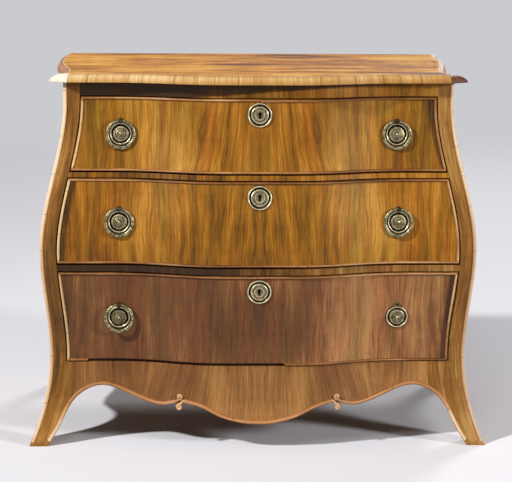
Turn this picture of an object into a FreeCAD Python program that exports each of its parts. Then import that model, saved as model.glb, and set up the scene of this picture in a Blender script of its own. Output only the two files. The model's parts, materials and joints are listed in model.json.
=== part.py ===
import FreeCAD, Part
import math
import os

# A three-drawer bombe chest in millimetres. +Z is up, the front faces -Y and +X is to the right of
# someone who faces the front. The origin is the centre of the bounding box's bottom face.

V = FreeCAD.Vector

# ---------------------------------------------------------------- driving dimensions, mm

# heights of the case
case_height = 793.0
top_thickness = 17.0

# outline of the case in the front view: half widths and the heights where they lie
foot_half_width = 499.0
ankle_half_width = 454.5
belly_half_width = 473.5
neck_half_width = 421.5
ankle_height = 200.0
belly_height = 428.0
neck_height = 750.0

# depth of the case
case_depth = 500.0           # from the front corner at the neck to the back boards' outer face
front_swell_ratio = 0.8      # the front swells this much for each millimetre that a side swells
serpentine_depth = 48.0      # how far the middle bows out past the corners
serpentine_flat = 60.0       # half width of the middle stretch that is nearly flat
serpentine_reach = 330.0     # half width where the bow has died out
side_waist = 9.0             # how far the sides draw in behind the front corner
side_waist_length = 300.0

# top; its sides were shaped by hand and differ
top_front_overhang = 26.0
top_back_overhang = 5.0
top_front_half_width = 412.0  # where the front edge meets the canted ear
ear_tip_half_width = 451.0
top_waist_half_width = {"left": 424.0, "right": 414.0}
top_waist_setback = {"left": 40.0, "right": 55.0}      # behind the ear's tip
top_hip_half_width = {"left": 453.0, "right": 441.0}
top_hip_setback = {"left": 350.0, "right": 400.0}
top_back_half_width = 447.0
hip_fullness = 0.66           # share of the swell from waist to hip that is reached half way
corner_fullness = 0.3         # the same from the hip to the back corner, at the place below
corner_start = 0.7
moulding_width = 24.0
moulding_round = 16.5

# front posts, feet and apron
stile_width = 36.5
post_depth = 45.0
side_joint_setback = 45.0     # joint of post and side panel, behind the neck's front corner
foot_width = 39.5
shin_width = 50.0             # half way up to the knee
knee_height = 97.0
knee_width = 62.5
arch_peak_half_width = 343.0
arch_peak_height = 130.5
arch_outer_shoulder = (0.26, 0.31)  # shares of the arch's run and rise, outwards and down from its peak
arch_inner_shoulders = [(0.39, 0.40), (0.70, 0.84)]  # the same, inwards
lobe_half_width = 205.0
lobe_height = 92.0
cusp_half_width = 172.0
cusp_height = 100.0
drop_shoulder_half_width = 88.0
drop_shoulder_height = 74.0
drop_height = 57.5            # lowest point of the apron's middle
drop_slope_shift = (5.0, 4.0)  # the slope above the drop's shoulder bulges this far in and up
drop_flanks = [(0.60, 0.34), (0.30, 0.06)]  # shares of the shoulder's half width and rise
apron_thickness = 22.0
joint_half_width_left = 398.0
joint_half_width_right = 375.0

# sides and back
side_thickness = 20.0
rear_post_width = 34.0
rear_post_depth = 46.0
side_arch_height = 128.0
side_drop_height = 108.0
back_board_thickness = 12.0
back_board_count = 4
back_board_gap = 1.0

# rails and the case's bottom
apron_top = 182.0             # the bottom drawer's opening starts here
rail_depth = 60.0
upper_rail_thickness = 14.0
lower_rail_thickness = 17.5
top_rail_depth = 30.0
top_rail_height = 31.5
tenon_length = 12.0
tenon_setback = 8.0
tenon_depth = 22.0
bottom_board_thickness = 18.0

# beads
corner_bead_size = 8.0
corner_bead_proud = 1.0
corner_bead_bulge = (0.28, 0.20)  # shares of its size that its face stands in from side and front
bead_foot_height = 9.0        # the beads stop this far above the floor
apron_bead_width = 8.0
apron_bead_proud = 2.5
apron_bead_inset = 5.0
scroll_radius = 7.3
scroll_spacing = 22.0         # between the two scroll centres, up and down
scroll_rise = 12.5            # upper scroll centre above the cusp
scroll_neck_radius = 3.0

# drawer fronts; the bottom drawer takes the height that is left
top_drawer_height = 158.0
middle_drawer_height = 182.0
drawer_gap = 1.5              # running gap round each front
front_thickness = 22.0        # where the front is thinnest
cockbead_width = 5.0
cockbead_proud = 3.0
cockbead_inset = 7.0
lost_bead_left = -374.0       # the bottom drawer has lost its bottom bead between these two places
lost_bead_right = 57.0

# drawer boxes
box_inset = 8.0               # box side inside the narrowest place of the front
box_board = 12.0
box_back_board = 10.0
box_bottom_board = 8.0
box_bottom_lift = 6.0         # underside of the bottom board above the side's lower edge
box_groove = 6.0
box_top_drop = 8.0            # sides are this much lower than the front
box_back_setback = 20.0       # back of the drawer in front of the back boards
back_top_drop = 10.0
runner_clearance = 0.4
tail_length = 13.0
tail_count = 3
tail_root_share = 0.46        # share of each pitch that the tail's root takes
tail_flare = 3.0

# runners, kickers, guides and stops
runner_width = 45.0
runner_thickness = 14.0
guide_height = 22.0
guide_clearance = 0.5
stop_width = 30.0
stop_length = 16.0
stop_thickness = 5.0
stop_position = 345.0
stop_clearance = 0.3

# handles
handle_positions = {"top": 298.0, "middle": 302.0, "bottom": 303.0}
plate_radius = 25.0
plate_thickness = 1.6
plate_rim_width = 2.4
plate_rim_height = 3.0
boss_radius = 19.0
boss_step_radius = 11.0
boss_height = 4.2
boss_step_height = 5.4
knob_radius = 3.4
lug_width = 11.0
ring_radius = 29.5            # of the ring's centre line
ring_bar_radius = 3.1
pivot_rise = 28.5             # pivot above the middle of the plate
pivot_stand = 9.0             # pivot in front of the drawer front
pivot_head_radius = 6.0
pivot_hole_clearance = 0.45
pivot_stem_radius = 2.4
ring_wood_clearance = 0.4
ring_most_tilt = 30           # degrees
ring_tilt_steps = 10          # tried for each degree
nut_radius = 7.0
nut_sides = 6
nut_thickness = 4.0
stem_end_length = 3.0

# escutcheons and locks
escutcheon_radius = 26.5
escutcheon_thickness = 1.6
escutcheon_rim_width = 3.0
escutcheon_rim_height = 3.0
escutcheon_disc_radius = 19.0
escutcheon_disc_height = 3.2
keyhole_drop = 31.0           # below the front's top edge
keyhole_radius = 2.8
keyhole_slot_width = 3.4
keyhole_slot_length = 9.5
lock_width = 60.0
lock_height = 46.0
lock_depth = 14.0
lock_above_keyhole = 20.0
bolt_width = 14.0
bolt_depth = 6.0
bolt_setback = 3.0            # behind the lock case's front
bolt_travel = 8.0
bolt_clearance = 0.3
bolt_top_drop = 0.5
mortise_clearance = 1.0
mortise_extra_depth = 1.5

# ---------------------------------------------------------------- the swelling form

def ease(t):
    t = min(max(t, 0.0), 1.0)
    return t * t * (3.0 - 2.0 * t)


def soft_ease(t):
    t = min(max(t, 0.0), 1.0)
    return t * t * t * (t * (6.0 * t - 15.0) + 10.0)


def half_width(z):
    """Half the case's width over its front corners at height z."""
    if z < ankle_height:
        flare = (1.0 - z / ankle_height) ** 2
        return ankle_half_width + (foot_half_width - ankle_half_width) * flare
    if z < belly_height:
        share = ease((z - ankle_height) / (belly_height - ankle_height))
        return ankle_half_width + (belly_half_width - ankle_half_width) * share
    share = ease((z - belly_height) / (neck_height - belly_height))
    return belly_half_width + (neck_half_width - belly_half_width) * share


def serpentine(x):
    """How far the front bows out at x, past its corners."""
    share = soft_ease((abs(x) - serpentine_flat) / (serpentine_reach - serpentine_flat))
    return serpentine_depth * (1.0 - share)


def swell(z):
    """How far the front's corner stands out at height z, past the neck."""
    return front_swell_ratio * (half_width(z) - neck_half_width)


def corner_y(z):
    """The front corner's place in depth at height z."""
    return neck_y - swell(z)


def front_y(x, z):
    return corner_y(z) - serpentine(x)


def side_x(y, z):
    """The right side's surface."""
    along = min(max((y - neck_y) / side_waist_length, 0.0), 1.0)
    return half_width(z) - side_waist * math.sin(math.pi * along) ** 2


# ---------------------------------------------------------------- sizes that follow

front_reach = serpentine_depth + max(swell(belly_height) + cockbead_proud,
                                     swell(drop_height) + apron_bead_proud)
back_reach = case_depth + top_back_overhang
neck_y = (front_reach - back_reach) / 2.0
case_back_y = neck_y + case_depth
boards_front_y = case_back_y - back_board_thickness

# heights of the outer edges of the drawer fronts, from the top rail down
drawer_tops = {}
drawer_bottoms = {}
drawer_tops["top"] = case_height - top_rail_height - drawer_gap
drawer_bottoms["top"] = drawer_tops["top"] - top_drawer_height
drawer_tops["middle"] = drawer_bottoms["top"] - 2.0 * drawer_gap - upper_rail_thickness
drawer_bottoms["middle"] = drawer_tops["middle"] - middle_drawer_height
drawer_tops["bottom"] = drawer_bottoms["middle"] - 2.0 * drawer_gap - lower_rail_thickness
drawer_bottoms["bottom"] = apron_top + drawer_gap

# construction blocks reach this far past the case, and small ones this far past what they meet
margin = 40.0
overrun = 1.0
mitre_overrun = 0.1           # the same for a mitre, as a share of the stretch before its end
far_x = foot_half_width + margin
far_front = neck_y - front_reach - 2.0 * margin
far_back = case_back_y + margin

# how finely the curved surfaces are interpolated
steps_across = 27
steps_deep = 16
steps_up = 18
curve_steps = 9
notch_steps = 5
rounding_steps = 6
seat_probes = 12
ring_probes = 24

drawer_names = ["top", "middle", "bottom"]
handle_sides = {"top": ["left", "right"], "middle": ["left", "right"], "bottom": ["left"]}


# ---------------------------------------------------------------- helpers

def steps(low, high, count):
    return [low + (high - low) * i / (count - 1) for i in range(count)]


def line(a, b):
    return Part.LineSegment(a, b).toShape()


def spline(points):
    curve = Part.BSplineCurve()
    curve.interpolate(points)
    return curve.toShape()


def polygon_edges(points):
    return [line(a, b) for a, b in zip(points[:-1], points[1:])]


def prism(edges, direction):
    wire = Part.Wire(edges)
    return Part.Face(wire).extrude(direction)


def box(x0, x1, y0, y1, z0, z1):
    return Part.makeBox(x1 - x0, y1 - y0, z1 - z0, V(x0, y0, z0))


def mirrored(shape):
    return shape.mirror(V(0, 0, 0), V(1, 0, 0))


def solids(shape):
    return [solid for solid in shape.Solids if solid.Volume > 1.0]


def inmost(shape):
    """The solid that lies nearest the middle plane, after a cut left a stray piece outside."""
    return min(solids(shape), key=lambda solid: abs(solid.CenterOfMass.x))


def largest(shape):
    return max(solids(shape), key=lambda solid: solid.Volume)


def spline_face(point, us, vs):
    surface = Part.BSplineSurface()
    surface.interpolate([[point(u, v) for v in vs] for u in us])
    return surface.toShape()


front_face = spline_face(lambda x, z: V(x, front_y(x, z), z),
                         steps(-far_x, far_x, steps_across),
                         steps(-margin, case_height + margin, steps_up))
right_face = spline_face(lambda y, z: V(side_x(y, z), y, z),
                         steps(far_front, far_back, steps_deep),
                         steps(-margin, case_height + margin, steps_up))


def front_skin(near, far):
    """What lies between two depths behind the front's surface."""
    face = front_face.copy()
    face.translate(V(0, near, 0))
    return face.extrude(V(0, far - near, 0))


def right_skin(near, far):
    """What lies between two depths inside the right side's surface."""
    face = right_face.copy()
    face.translate(V(-near, 0, 0))
    return face.extrude(V(near - far, 0, 0))


def outline_curve(sign, inset, z0, z1):
    """A line in the front view that follows the case's outline, inset from it."""
    return spline([V(sign * (half_width(z) - inset), far_front, z) for z in steps(z0, z1, curve_steps)])


def between_outlines(inset, z0, z1):
    """Everything between the two outlines, from z0 to z1, as a prism along Y."""
    left_low = V(-(half_width(z0) - inset), far_front, z0)
    left_high = V(-(half_width(z1) - inset), far_front, z1)
    right_low = V(half_width(z0) - inset, far_front, z0)
    right_high = V(half_width(z1) - inset, far_front, z1)
    edges = [outline_curve(1, inset, z0, z1), line(right_high, left_high),
             outline_curve(-1, inset, z0, z1), line(left_low, right_low)]
    return prism(Part.__sortEdges__(edges), V(0, far_back - far_front, 0))


def behind_serpentine(y, z0, z1):
    """Everything behind an upright serpentine wall whose ends stand at y."""
    front = spline([V(x, y - serpentine(x), z0) for x in steps(-far_x, far_x, steps_across)])
    back = polygon_edges([V(far_x, y, z0), V(far_x, far_back, z0),
                          V(-far_x, far_back, z0), V(-far_x, y, z0)])
    return prism([front] + back, V(0, 0, z1 - z0))


# ---------------------------------------------------------------- apron edge and side arch

def foot_edge_point(z):
    """A point on the inner edge of the right foot, below the middle of its height."""
    width = foot_width + (shin_width - foot_width) * 2.0 * z / knee_height
    return (half_width(z) - width, z)


def side_edge_points():
    """The apron's lower edge in the front view, from the foot's inner edge to the scroll."""
    mid = knee_height / 2.0
    arch_rise = arch_peak_height - lobe_height
    arch_run = arch_peak_half_width - lobe_half_width
    run, fall = arch_outer_shoulder
    points = [foot_edge_point(0.0),
              foot_edge_point(bead_foot_height),
              foot_edge_point(mid),
              (half_width(knee_height) - knee_width, knee_height),
              (arch_peak_half_width + run * arch_run, arch_peak_height - fall * arch_rise),
              (arch_peak_half_width, arch_peak_height)]
    for run, fall in arch_inner_shoulders:
        points.append((arch_peak_half_width - run * arch_run, arch_peak_height - fall * arch_rise))
    points.append((lobe_half_width, lobe_height))
    points.append((cusp_half_width + apron_bead_width, (lobe_height + 3.0 * cusp_height) / 4.0))
    return points


def middle_edge_points():
    """The apron's lower edge from the scroll to the middle."""
    drop = drop_shoulder_height - drop_height
    slope_x = (cusp_half_width + drop_shoulder_half_width) / 2.0 - drop_slope_shift[0]
    slope_z = (cusp_height + drop_shoulder_height) / 2.0 + drop_slope_shift[1]
    points = [(cusp_half_width - apron_bead_width, cusp_height),
              (slope_x, slope_z),
              (drop_shoulder_half_width, drop_shoulder_height)]
    for width, rise in drop_flanks:
        points.append((width * drop_shoulder_half_width, drop_height + rise * drop))
    points.append((0.0, drop_height))
    return points


def at_front(points, sign=1):
    return [V(sign * x, far_front, z) for x, z in points]


def under_apron():
    """Everything below the apron's edge and between the front feet, back to the side joints."""
    side = side_edge_points()
    middle = middle_edge_points()
    whole_middle = middle + [(-x, z) for x, z in reversed(middle[:-1])]
    right = spline(at_front(side))
    left = spline(at_front(side, -1))
    centre = spline(at_front(whole_middle))
    floor_right = V(side[0][0], far_front, -margin)
    floor_left = V(-side[0][0], far_front, -margin)
    edges = [right, line(at_front(side)[-1], at_front(middle)[0]), centre,
             line(at_front(middle, -1)[0], at_front(side, -1)[-1]), left,
             line(at_front(side, -1)[0], floor_left), line(floor_left, floor_right),
             line(floor_right, at_front(side)[0])]
    reach = neck_y + side_joint_setback + 2.0 * post_depth
    return prism(Part.__sortEdges__(edges), V(0, reach - far_front, 0))


def under_sides():
    """Everything below the side aprons' edge and between front and rear feet, from side to side."""
    mid = knee_height / 2.0
    front = [(corner_y(0) + foot_width, 0.0),
             (corner_y(mid) + shin_width, mid),
             (corner_y(knee_height) + knee_width, knee_height),
             (neck_y + side_joint_setback + knee_width / 2.0, side_arch_height)]
    rear = [(case_back_y - rear_post_depth, 0.0),
            (case_back_y - rear_post_depth, mid),
            (case_back_y - knee_width, knee_height),
            (case_back_y - 2.0 * knee_width, side_arch_height)]
    centre = ((front[-1][0] + rear[-1][0]) / 2.0, side_drop_height)
    points = [V(-far_x, y, z) for y, z in front + [centre] + rear[::-1]]
    low_rear = V(-far_x, rear[0][0], -margin)
    low_front = V(-far_x, front[0][0], -margin)
    edges = [spline(points)] + polygon_edges([points[-1], low_rear, low_front, points[0]])
    return prism(edges, V(2.0 * far_x, 0, 0))


# ---------------------------------------------------------------- top

def top_outline(inset, side):
    """One side of the eared outline, as if it were the right one: the front corner, the ear's tip and the
    side edge behind it. The inset moves it inwards all round but at the back. Behind the tip the edge is a
    quarter of an ellipse, scooped out of the top, down to the waist."""
    ear_run = V(ear_tip_half_width - top_front_half_width, top_front_overhang, 0)
    ear_run.normalize()
    corner_shift = inset * math.tan(math.atan2(ear_run.y, ear_run.x) / 2.0)
    front_corner = V(top_front_half_width - corner_shift, neck_y - top_front_overhang + inset, 0)
    waist = V(top_waist_half_width[side], neck_y + top_waist_setback[side], 0)
    hip = V(top_hip_half_width[side], neck_y + top_hip_setback[side], 0)
    back = V(top_back_half_width, case_back_y + top_back_overhang, 0)

    # where the ear's front edge meets the ellipse, in units of the ellipse's half axes
    half_x = ear_tip_half_width - waist.x + inset
    half_y = top_waist_setback[side] + inset
    start = V((front_corner.x - ear_tip_half_width) / half_x, (front_corner.y - waist.y) / half_y, 0)
    run = V(ear_run.x / half_x, ear_run.y / half_y, 0)
    reach = start.dot(run) ** 2 - run.dot(run) * (start.dot(start) - 1.0)
    meeting = start - run * ((start.dot(run) + math.sqrt(max(reach, 0.0))) / run.dot(run))
    angle = math.atan2(-meeting.x, -meeting.y)

    edge = []
    for turn in steps(angle, math.pi / 2.0, notch_steps):
        edge.append(V(ear_tip_half_width - half_x * math.sin(turn), waist.y - half_y * math.cos(turn), 0))
    inward = V(-inset, 0, 0)
    flank_x = waist.x + hip_fullness * (hip.x - waist.x)
    corner_x = hip.x + corner_fullness * (back.x - hip.x)
    corner_setback = hip.y + corner_start * (back.y - hip.y)
    edge += [V(flank_x, (waist.y + hip.y) / 2.0, 0) + inward, hip + inward,
             V(corner_x, corner_setback, 0) + inward, back + inward]
    return front_corner, edge[0], edge


def flipped(points):
    return [V(-p.x, p.y, p.z) for p in points]


def top_wire(inset, z):
    """The whole outline inside an inset, at height z."""
    front_corner, _, right = top_outline(inset, "right")
    left = flipped(top_outline(inset, "left")[2])
    front = []
    for x in steps(-front_corner.x, front_corner.x, steps_across):
        front.append(V(x, front_corner.y - serpentine(x), 0))
    wire = Part.Wire([spline(front), line(front[-1], right[0]), spline(right), line(right[-1], left[-1]),
                      spline(left[::-1]), line(left[0], front[0])])
    wire.translate(V(0, 0, z))
    return wire


def top_slab():
    """The whole top in one, its front and sides rounded over."""
    rounding_start = case_height + top_thickness - moulding_round
    wires = []
    for angle in steps(0.0, math.pi / 2.0, rounding_steps):
        inset = moulding_round * (1.0 - math.cos(angle))
        wires.append(top_wire(inset, rounding_start + moulding_round * math.sin(angle)))
    lip = Part.Face(top_wire(0.0, case_height)).extrude(V(0, 0, rounding_start - case_height))
    return lip.fuse(Part.makeLoft(wires, True, False))


def ear_wedge(side):
    """Everything between the two mitres of one ear: the front corner's, and the one behind its tip."""
    outlines = [top_outline(inset, side) for inset in steps(0.0, moulding_width, notch_steps)]
    mitre = [tip for _, tip, _ in outlines]
    mitre.insert(0, mitre[0] + (mitre[0] - mitre[-1]) * mitre_overrun)
    mitre.append(mitre[-1] + (mitre[-1] - mitre[-2]) * mitre_overrun)
    outer_corner = top_outline(-margin / 4.0, side)[0]
    inner_corner = top_outline(moulding_width + overrun, side)[0]
    corners = [outer_corner] + mitre + [inner_corner, outer_corner]
    if side == "left":
        corners = flipped(corners)
    wedge = prism(polygon_edges(corners), V(0, 0, top_thickness))
    wedge.translate(V(0, 0, case_height))
    return wedge


def make_top():
    """The veneered panel and the cross-grained moulding round its front and sides."""
    slab = top_slab()
    inner = Part.Face(top_wire(moulding_width, case_height)).extrude(V(0, 0, top_thickness))
    band = slab.cut(inner)
    wedges = {"left": ear_wedge("left"), "right": ear_wedge("right")}
    rest = solids(band.cut(wedges["left"]).cut(wedges["right"]))
    front = min(rest, key=lambda solid: abs(solid.CenterOfMass.x))
    nodes = {"top_panel": [largest(slab.common(inner))], "top_moulding_front": [front]}
    for side, sign in (("left", -1), ("right", 1)):
        ear = largest(band.common(wedges[side]))
        flank = max(rest, key=lambda solid: sign * solid.CenterOfMass.x)
        nodes["top_moulding_" + side] = [ear, flank]
    return nodes


# ---------------------------------------------------------------- beads

def corner_notch():
    """What is cut from the right post's outer corner, to the full height, for its bead."""
    size = corner_bead_size
    zs = steps(bead_foot_height, case_height + margin, 2 * curve_steps)
    low = zs[0]
    high = zs[-1]
    face_line = [V(half_width(z) - size, far_front, z) for z in zs]
    outside = [face_line[-1], V(far_x, far_front, high), V(far_x, far_front, low), face_line[0]]
    beside = prism([spline(face_line)] + polygon_edges(outside), V(0, far_back - far_front, 0))
    side_line = [V(0, corner_y(z) + size, z) for z in zs]
    before = [side_line[-1], V(0, far_front, high), V(0, far_front, low), side_line[0]]
    ahead = prism([spline(side_line)] + polygon_edges(before), V(far_x, 0, 0))
    return beside.common(ahead)


def make_corner_bead(notch):
    """The light bead down the right corner: a rounded strip that fills the notch in the post."""
    sections = []
    size = corner_bead_size
    for z in steps(bead_foot_height, case_height, 2 * curve_steps):
        x = half_width(z)
        y = corner_y(z)
        back = y + size + overrun
        near = x - size - overrun
        at_face = V(x - size, y - corner_bead_proud, z)
        at_side = V(x, y + size, z)
        bulge = V(x - corner_bead_bulge[0] * size, y + corner_bead_bulge[1] * size, z)
        corners = [at_side, V(x, back, z), V(near, back, z), V(near, y - corner_bead_proud, z), at_face]
        face = Part.Arc(at_face, bulge, at_side).toShape()
        sections.append(Part.Wire([face] + polygon_edges(corners)))
    return largest(Part.makeLoft(sections, True, False).common(notch))


def offset_points(points, distance):
    """Points moved to the left of the way they run."""
    moved = []
    for i, (x, z) in enumerate(points):
        ax, az = points[max(i - 1, 0)]
        bx, bz = points[min(i + 1, len(points) - 1)]
        run = math.hypot(bx - ax, bz - az)
        moved.append((x - (bz - az) / run * distance, z + (bx - ax) / run * distance))
    return moved


def bead_band(points, outside, inside):
    """Everything in front of and behind a band that follows an edge of the apron."""
    outer = at_front(offset_points(points, outside))
    inner = at_front(offset_points(points, -inside))
    edges = [spline(outer), line(outer[-1], inner[-1]), spline(inner), line(inner[0], outer[0])]
    return prism(Part.__sortEdges__(edges), V(0, far_back - far_front, 0))


def bead_along(points):
    band = bead_band(points, 0.0, apron_bead_width)
    return largest(front_skin(-apron_bead_proud, apron_bead_inset).common(band))


def bead_rebate(points):
    """The recess that a bead lies in, open to the front and to the edge that it follows."""
    band = bead_band(points, apron_bead_width / 2.0, apron_bead_width)
    return front_skin(-margin, apron_bead_inset).common(band)


def scroll(x, z, from_x, from_z):
    """A scroll end: a ball on the front's surface with a neck to the end of its bead."""
    centre = V(x, front_y(x, z), z)
    ball = Part.makeSphere(scroll_radius, centre)
    start = V(from_x, front_y(from_x, from_z), from_z)
    run = start - centre
    neck = Part.makeCylinder(scroll_neck_radius, run.Length, centre, run)
    return ball.fuse(neck)


def make_apron_beads():
    """Three beads, two from a foot along the arch and one across the middle, and their recesses."""
    half = apron_bead_width / 2.0
    side = side_edge_points()[1:]
    end_x, end_z = side[-1]
    upper = scroll(cusp_half_width, cusp_height + scroll_rise, end_x + half, end_z + half)
    side_bead = largest(bead_along(side).fuse(upper))
    middle = middle_edge_points()
    whole = middle + [(-x, z) for x, z in reversed(middle[:-1])]
    start_x, start_z = middle[0]
    lower_z = cusp_height + scroll_rise - scroll_spacing
    lower = scroll(cusp_half_width, lower_z, start_x - half, start_z + half).cut(side_bead)
    centre_bead = largest(bead_along(whole).fuse([lower, mirrored(lower)]))
    side_rebate = bead_rebate(side)
    recesses = [side_rebate, mirrored(side_rebate), bead_rebate(whole), upper, mirrored(upper),
                lower, mirrored(lower)]
    return [mirrored(side_bead), centre_bead, side_bead], recesses


# ---------------------------------------------------------------- case

def make_front_post(joint_half_width, cutters):
    """Stile, knee and splayed foot in one, for the right side."""
    inner_top = V(half_width(case_height) - stile_width, far_front, case_height)
    inner_low = V(half_width(apron_top) - stile_width, far_front, apron_top)
    edges = [outline_curve(1, stile_width, apron_top, case_height)]
    edges += polygon_edges([inner_top, V(far_x, far_front, case_height), V(far_x, far_front, 0),
                            V(joint_half_width, far_front, 0), V(joint_half_width, far_front, apron_top),
                            inner_low])
    joint_y = neck_y + side_joint_setback
    view = prism(Part.__sortEdges__(edges), V(0, joint_y - far_front, 0))
    reach = foot_half_width
    block = box(joint_half_width - margin, far_x, far_front, joint_y + margin, 0, case_height)
    post = view.common(block.common(front_skin(0, reach))).common(block.common(right_skin(0, reach)))
    behind = block.common(front_skin(post_depth, reach))
    inside = block.common(right_skin(stile_width, 2.0 * reach))
    return fitted(post.cut(behind.common(inside)), cutters)


def make_rear_post(side_cutter):
    post = box(0, far_x, case_back_y - rear_post_depth, case_back_y, 0, case_height)
    post = post.common(right_skin(0, rear_post_width))
    return largest(post.cut(side_cutter))


def make_side_panel(side_cutter):
    panel = box(0, far_x, neck_y + side_joint_setback, case_back_y - rear_post_depth, 0, case_height)
    return largest(panel.common(right_skin(0, side_thickness)).cut(side_cutter))


def make_rail(z0, z1, depth):
    """A rail across the front, between the stiles, with a stub tenon let into each post."""
    rail = between_outlines(stile_width, z0, z1).common(front_skin(0, depth))
    tenon = between_outlines(stile_width - tenon_length, z0, z1)
    tenon = tenon.common(front_skin(tenon_setback, tenon_setback + tenon_depth))
    return largest(rail.fuse(tenon).removeSplitter())


def make_apron(cutter):
    block = box(-joint_half_width_left, joint_half_width_right, far_front, neck_y + margin, 0, apron_top)
    return largest(block.common(front_skin(0, apron_thickness)).cut(cutter))


def fitted(block, neighbours):
    """A block with its neighbours cut out of it, less what is left outside them."""
    for neighbour in neighbours:
        block = block.cut(neighbour)
    return inmost(block)


def box_half_width(name):
    low = drawer_bottoms[name]
    high = drawer_tops[name]
    narrow = min(half_width(z) for z in steps(low, high, curve_steps))
    return narrow - max(stile_width, rear_post_width) - drawer_gap - box_inset


def inner_face_y(name):
    """Where the ends of a drawer front's upright inner face stand."""
    low = drawer_bottoms[name]
    high = drawer_tops[name]
    return max(corner_y(z) for z in steps(low, high, curve_steps)) + front_thickness


def make_case():
    """Every piece of the standing case but the top, by node name."""
    apron_cutter = under_apron()
    side_cutter = under_sides()
    beads, recesses = make_apron_beads()
    notch = corner_notch()
    corner_bead = make_corner_bead(notch)
    rails = {
        "top_rail": make_rail(drawer_tops["top"] + drawer_gap, case_height, top_rail_depth),
        "upper_drawer_rail": make_rail(drawer_tops["middle"] + drawer_gap,
                                       drawer_bottoms["top"] - drawer_gap, rail_depth),
        "lower_drawer_rail": make_rail(drawer_tops["bottom"] + drawer_gap,
                                       drawer_bottoms["middle"] - drawer_gap, rail_depth)}
    side_recess = recesses[0]
    cutters = [apron_cutter, side_cutter, notch, side_recess] + list(rails.values())
    left_post = mirrored(make_front_post(joint_half_width_left, cutters))
    right_post = make_front_post(joint_half_width_right, cutters)
    rails["top_rail"] = rails["top_rail"].cut(mortise("top"))
    rails["upper_drawer_rail"] = rails["upper_drawer_rail"].cut(mortise("middle"))
    rails["lower_drawer_rail"] = rails["lower_drawer_rail"].cut(mortise("bottom"))

    pieces = {"apron_beads": beads}
    pieces["front_post_left"] = [left_post]
    pieces["front_post_right"] = [right_post]
    pieces["corner_bead_left"] = [mirrored(corner_bead)]
    pieces["corner_bead_right"] = [corner_bead]
    rear = make_rear_post(side_cutter)
    panel = make_side_panel(side_cutter)
    pieces["rear_post_left"] = [mirrored(rear)]
    pieces["rear_post_right"] = [rear]
    pieces["side_panel_left"] = [mirrored(panel)]
    pieces["side_panel_right"] = [panel]
    for name, rail in rails.items():
        pieces[name] = [largest(rail)]
    pieces["front_apron"] = [fitted(make_apron(apron_cutter), recesses)]

    shell = [pieces[name][0] for name in ("front_post_left", "front_post_right", "rear_post_left",
                                          "rear_post_right", "side_panel_left", "side_panel_right")]
    pieces["bottom_board"] = [make_bottom_board(shell)]
    pieces["back_boards"] = make_back_boards(shell[2:4])
    pieces.update(make_drawer_carriers(shell, rails))
    return pieces


def make_bottom_board(shell):
    block = box(-far_x, far_x, far_front, boards_front_y, apron_top - bottom_board_thickness, apron_top)
    return fitted(block.common(front_skin(apron_thickness, 2.0 * case_depth)), shell)


def make_back_boards(rear_posts):
    """Level boards between the rear posts, one above the other, with room to swell."""
    boards = []
    low = apron_top - bottom_board_thickness
    pitch = (case_height - low) / back_board_count
    for i in range(back_board_count):
        z0 = low + i * pitch + (back_board_gap if i else 0.0)
        block = box(-far_x, far_x, boards_front_y, case_back_y, z0, low + (i + 1) * pitch)
        boards.append(fitted(block, rear_posts))
    return boards


def make_drawer_carriers(shell, rails):
    """Runners and kickers, guides, and stops for the three drawers."""
    right_shell = [piece for piece in shell if piece.CenterOfMass.x > 0]
    rail_tops = {"top": rails["upper_drawer_rail"], "middle": rails["lower_drawer_rail"]}
    runners = []
    guides = []
    stops = []
    for name in drawer_names:
        floor = drawer_bottoms[name] - drawer_gap
        half = box_half_width(name)
        inner = inner_face_y(name)
        if name in rail_tops:
            block = box(half - runner_width, far_x, inner, boards_front_y, floor - runner_thickness, floor)
            runner = fitted(block, right_shell + [rail_tops[name]])
            runners += [runner, mirrored(runner)]
        start = neck_y + side_joint_setback
        guide = box(half + guide_clearance, far_x, start, boards_front_y, floor, floor + guide_height)
        guide = fitted(guide, right_shell)
        guides += [guide, mirrored(guide)]
        for side in (-1, 1):
            near = side * stop_position - stop_width / 2.0
            stops.append(box(near, near + stop_width, inner + stop_clearance,
                             inner + stop_clearance + stop_length, floor, floor + stop_thickness))
    ceiling = drawer_tops["top"] + drawer_gap
    half = box_half_width("top")
    kicker = box(half - runner_width, far_x, inner_face_y("top"), boards_front_y, ceiling, case_height)
    kicker = fitted(kicker, right_shell + [rails["top_rail"]])
    runners += [kicker, mirrored(kicker)]
    return {"drawer_runners": runners, "drawer_guides": guides, "drawer_stops": stops}


# ---------------------------------------------------------------- locks

def keyhole_z(name):
    return drawer_tops[name] - keyhole_drop


def lock_front_y(name):
    """Front of the lock case, let into the inner face of the drawer front."""
    return inner_face_y(name) - serpentine(0) - lock_depth


def bolt_box(name, clearance, z0, z1):
    y = lock_front_y(name) + bolt_setback
    half = bolt_width / 2.0 + clearance
    return box(-half, half, y - clearance, y + bolt_depth + clearance, z0, z1)


def mortise(name):
    """The pocket that the bolt enters, in the rail above the drawer."""
    ceiling = drawer_tops[name] + drawer_gap
    reach = bolt_travel - bolt_top_drop - drawer_gap + mortise_extra_depth
    return bolt_box(name, mortise_clearance, ceiling - overrun, ceiling + reach)


def keyhole_cutter(name):
    """A keyhole through everything in front of the lock."""
    z = keyhole_z(name)
    y0 = lock_front_y(name) - 2.0 * margin
    length = lock_front_y(name) + bolt_setback / 2.0 - y0
    hole = Part.makeCylinder(keyhole_radius, length, V(0, y0, z), V(0, 1, 0))
    half = keyhole_slot_width / 2.0
    slot = box(-half, half, y0, y0 + length, z - keyhole_slot_length, z)
    return hole.fuse(slot)


# ---------------------------------------------------------------- brasses

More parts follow.
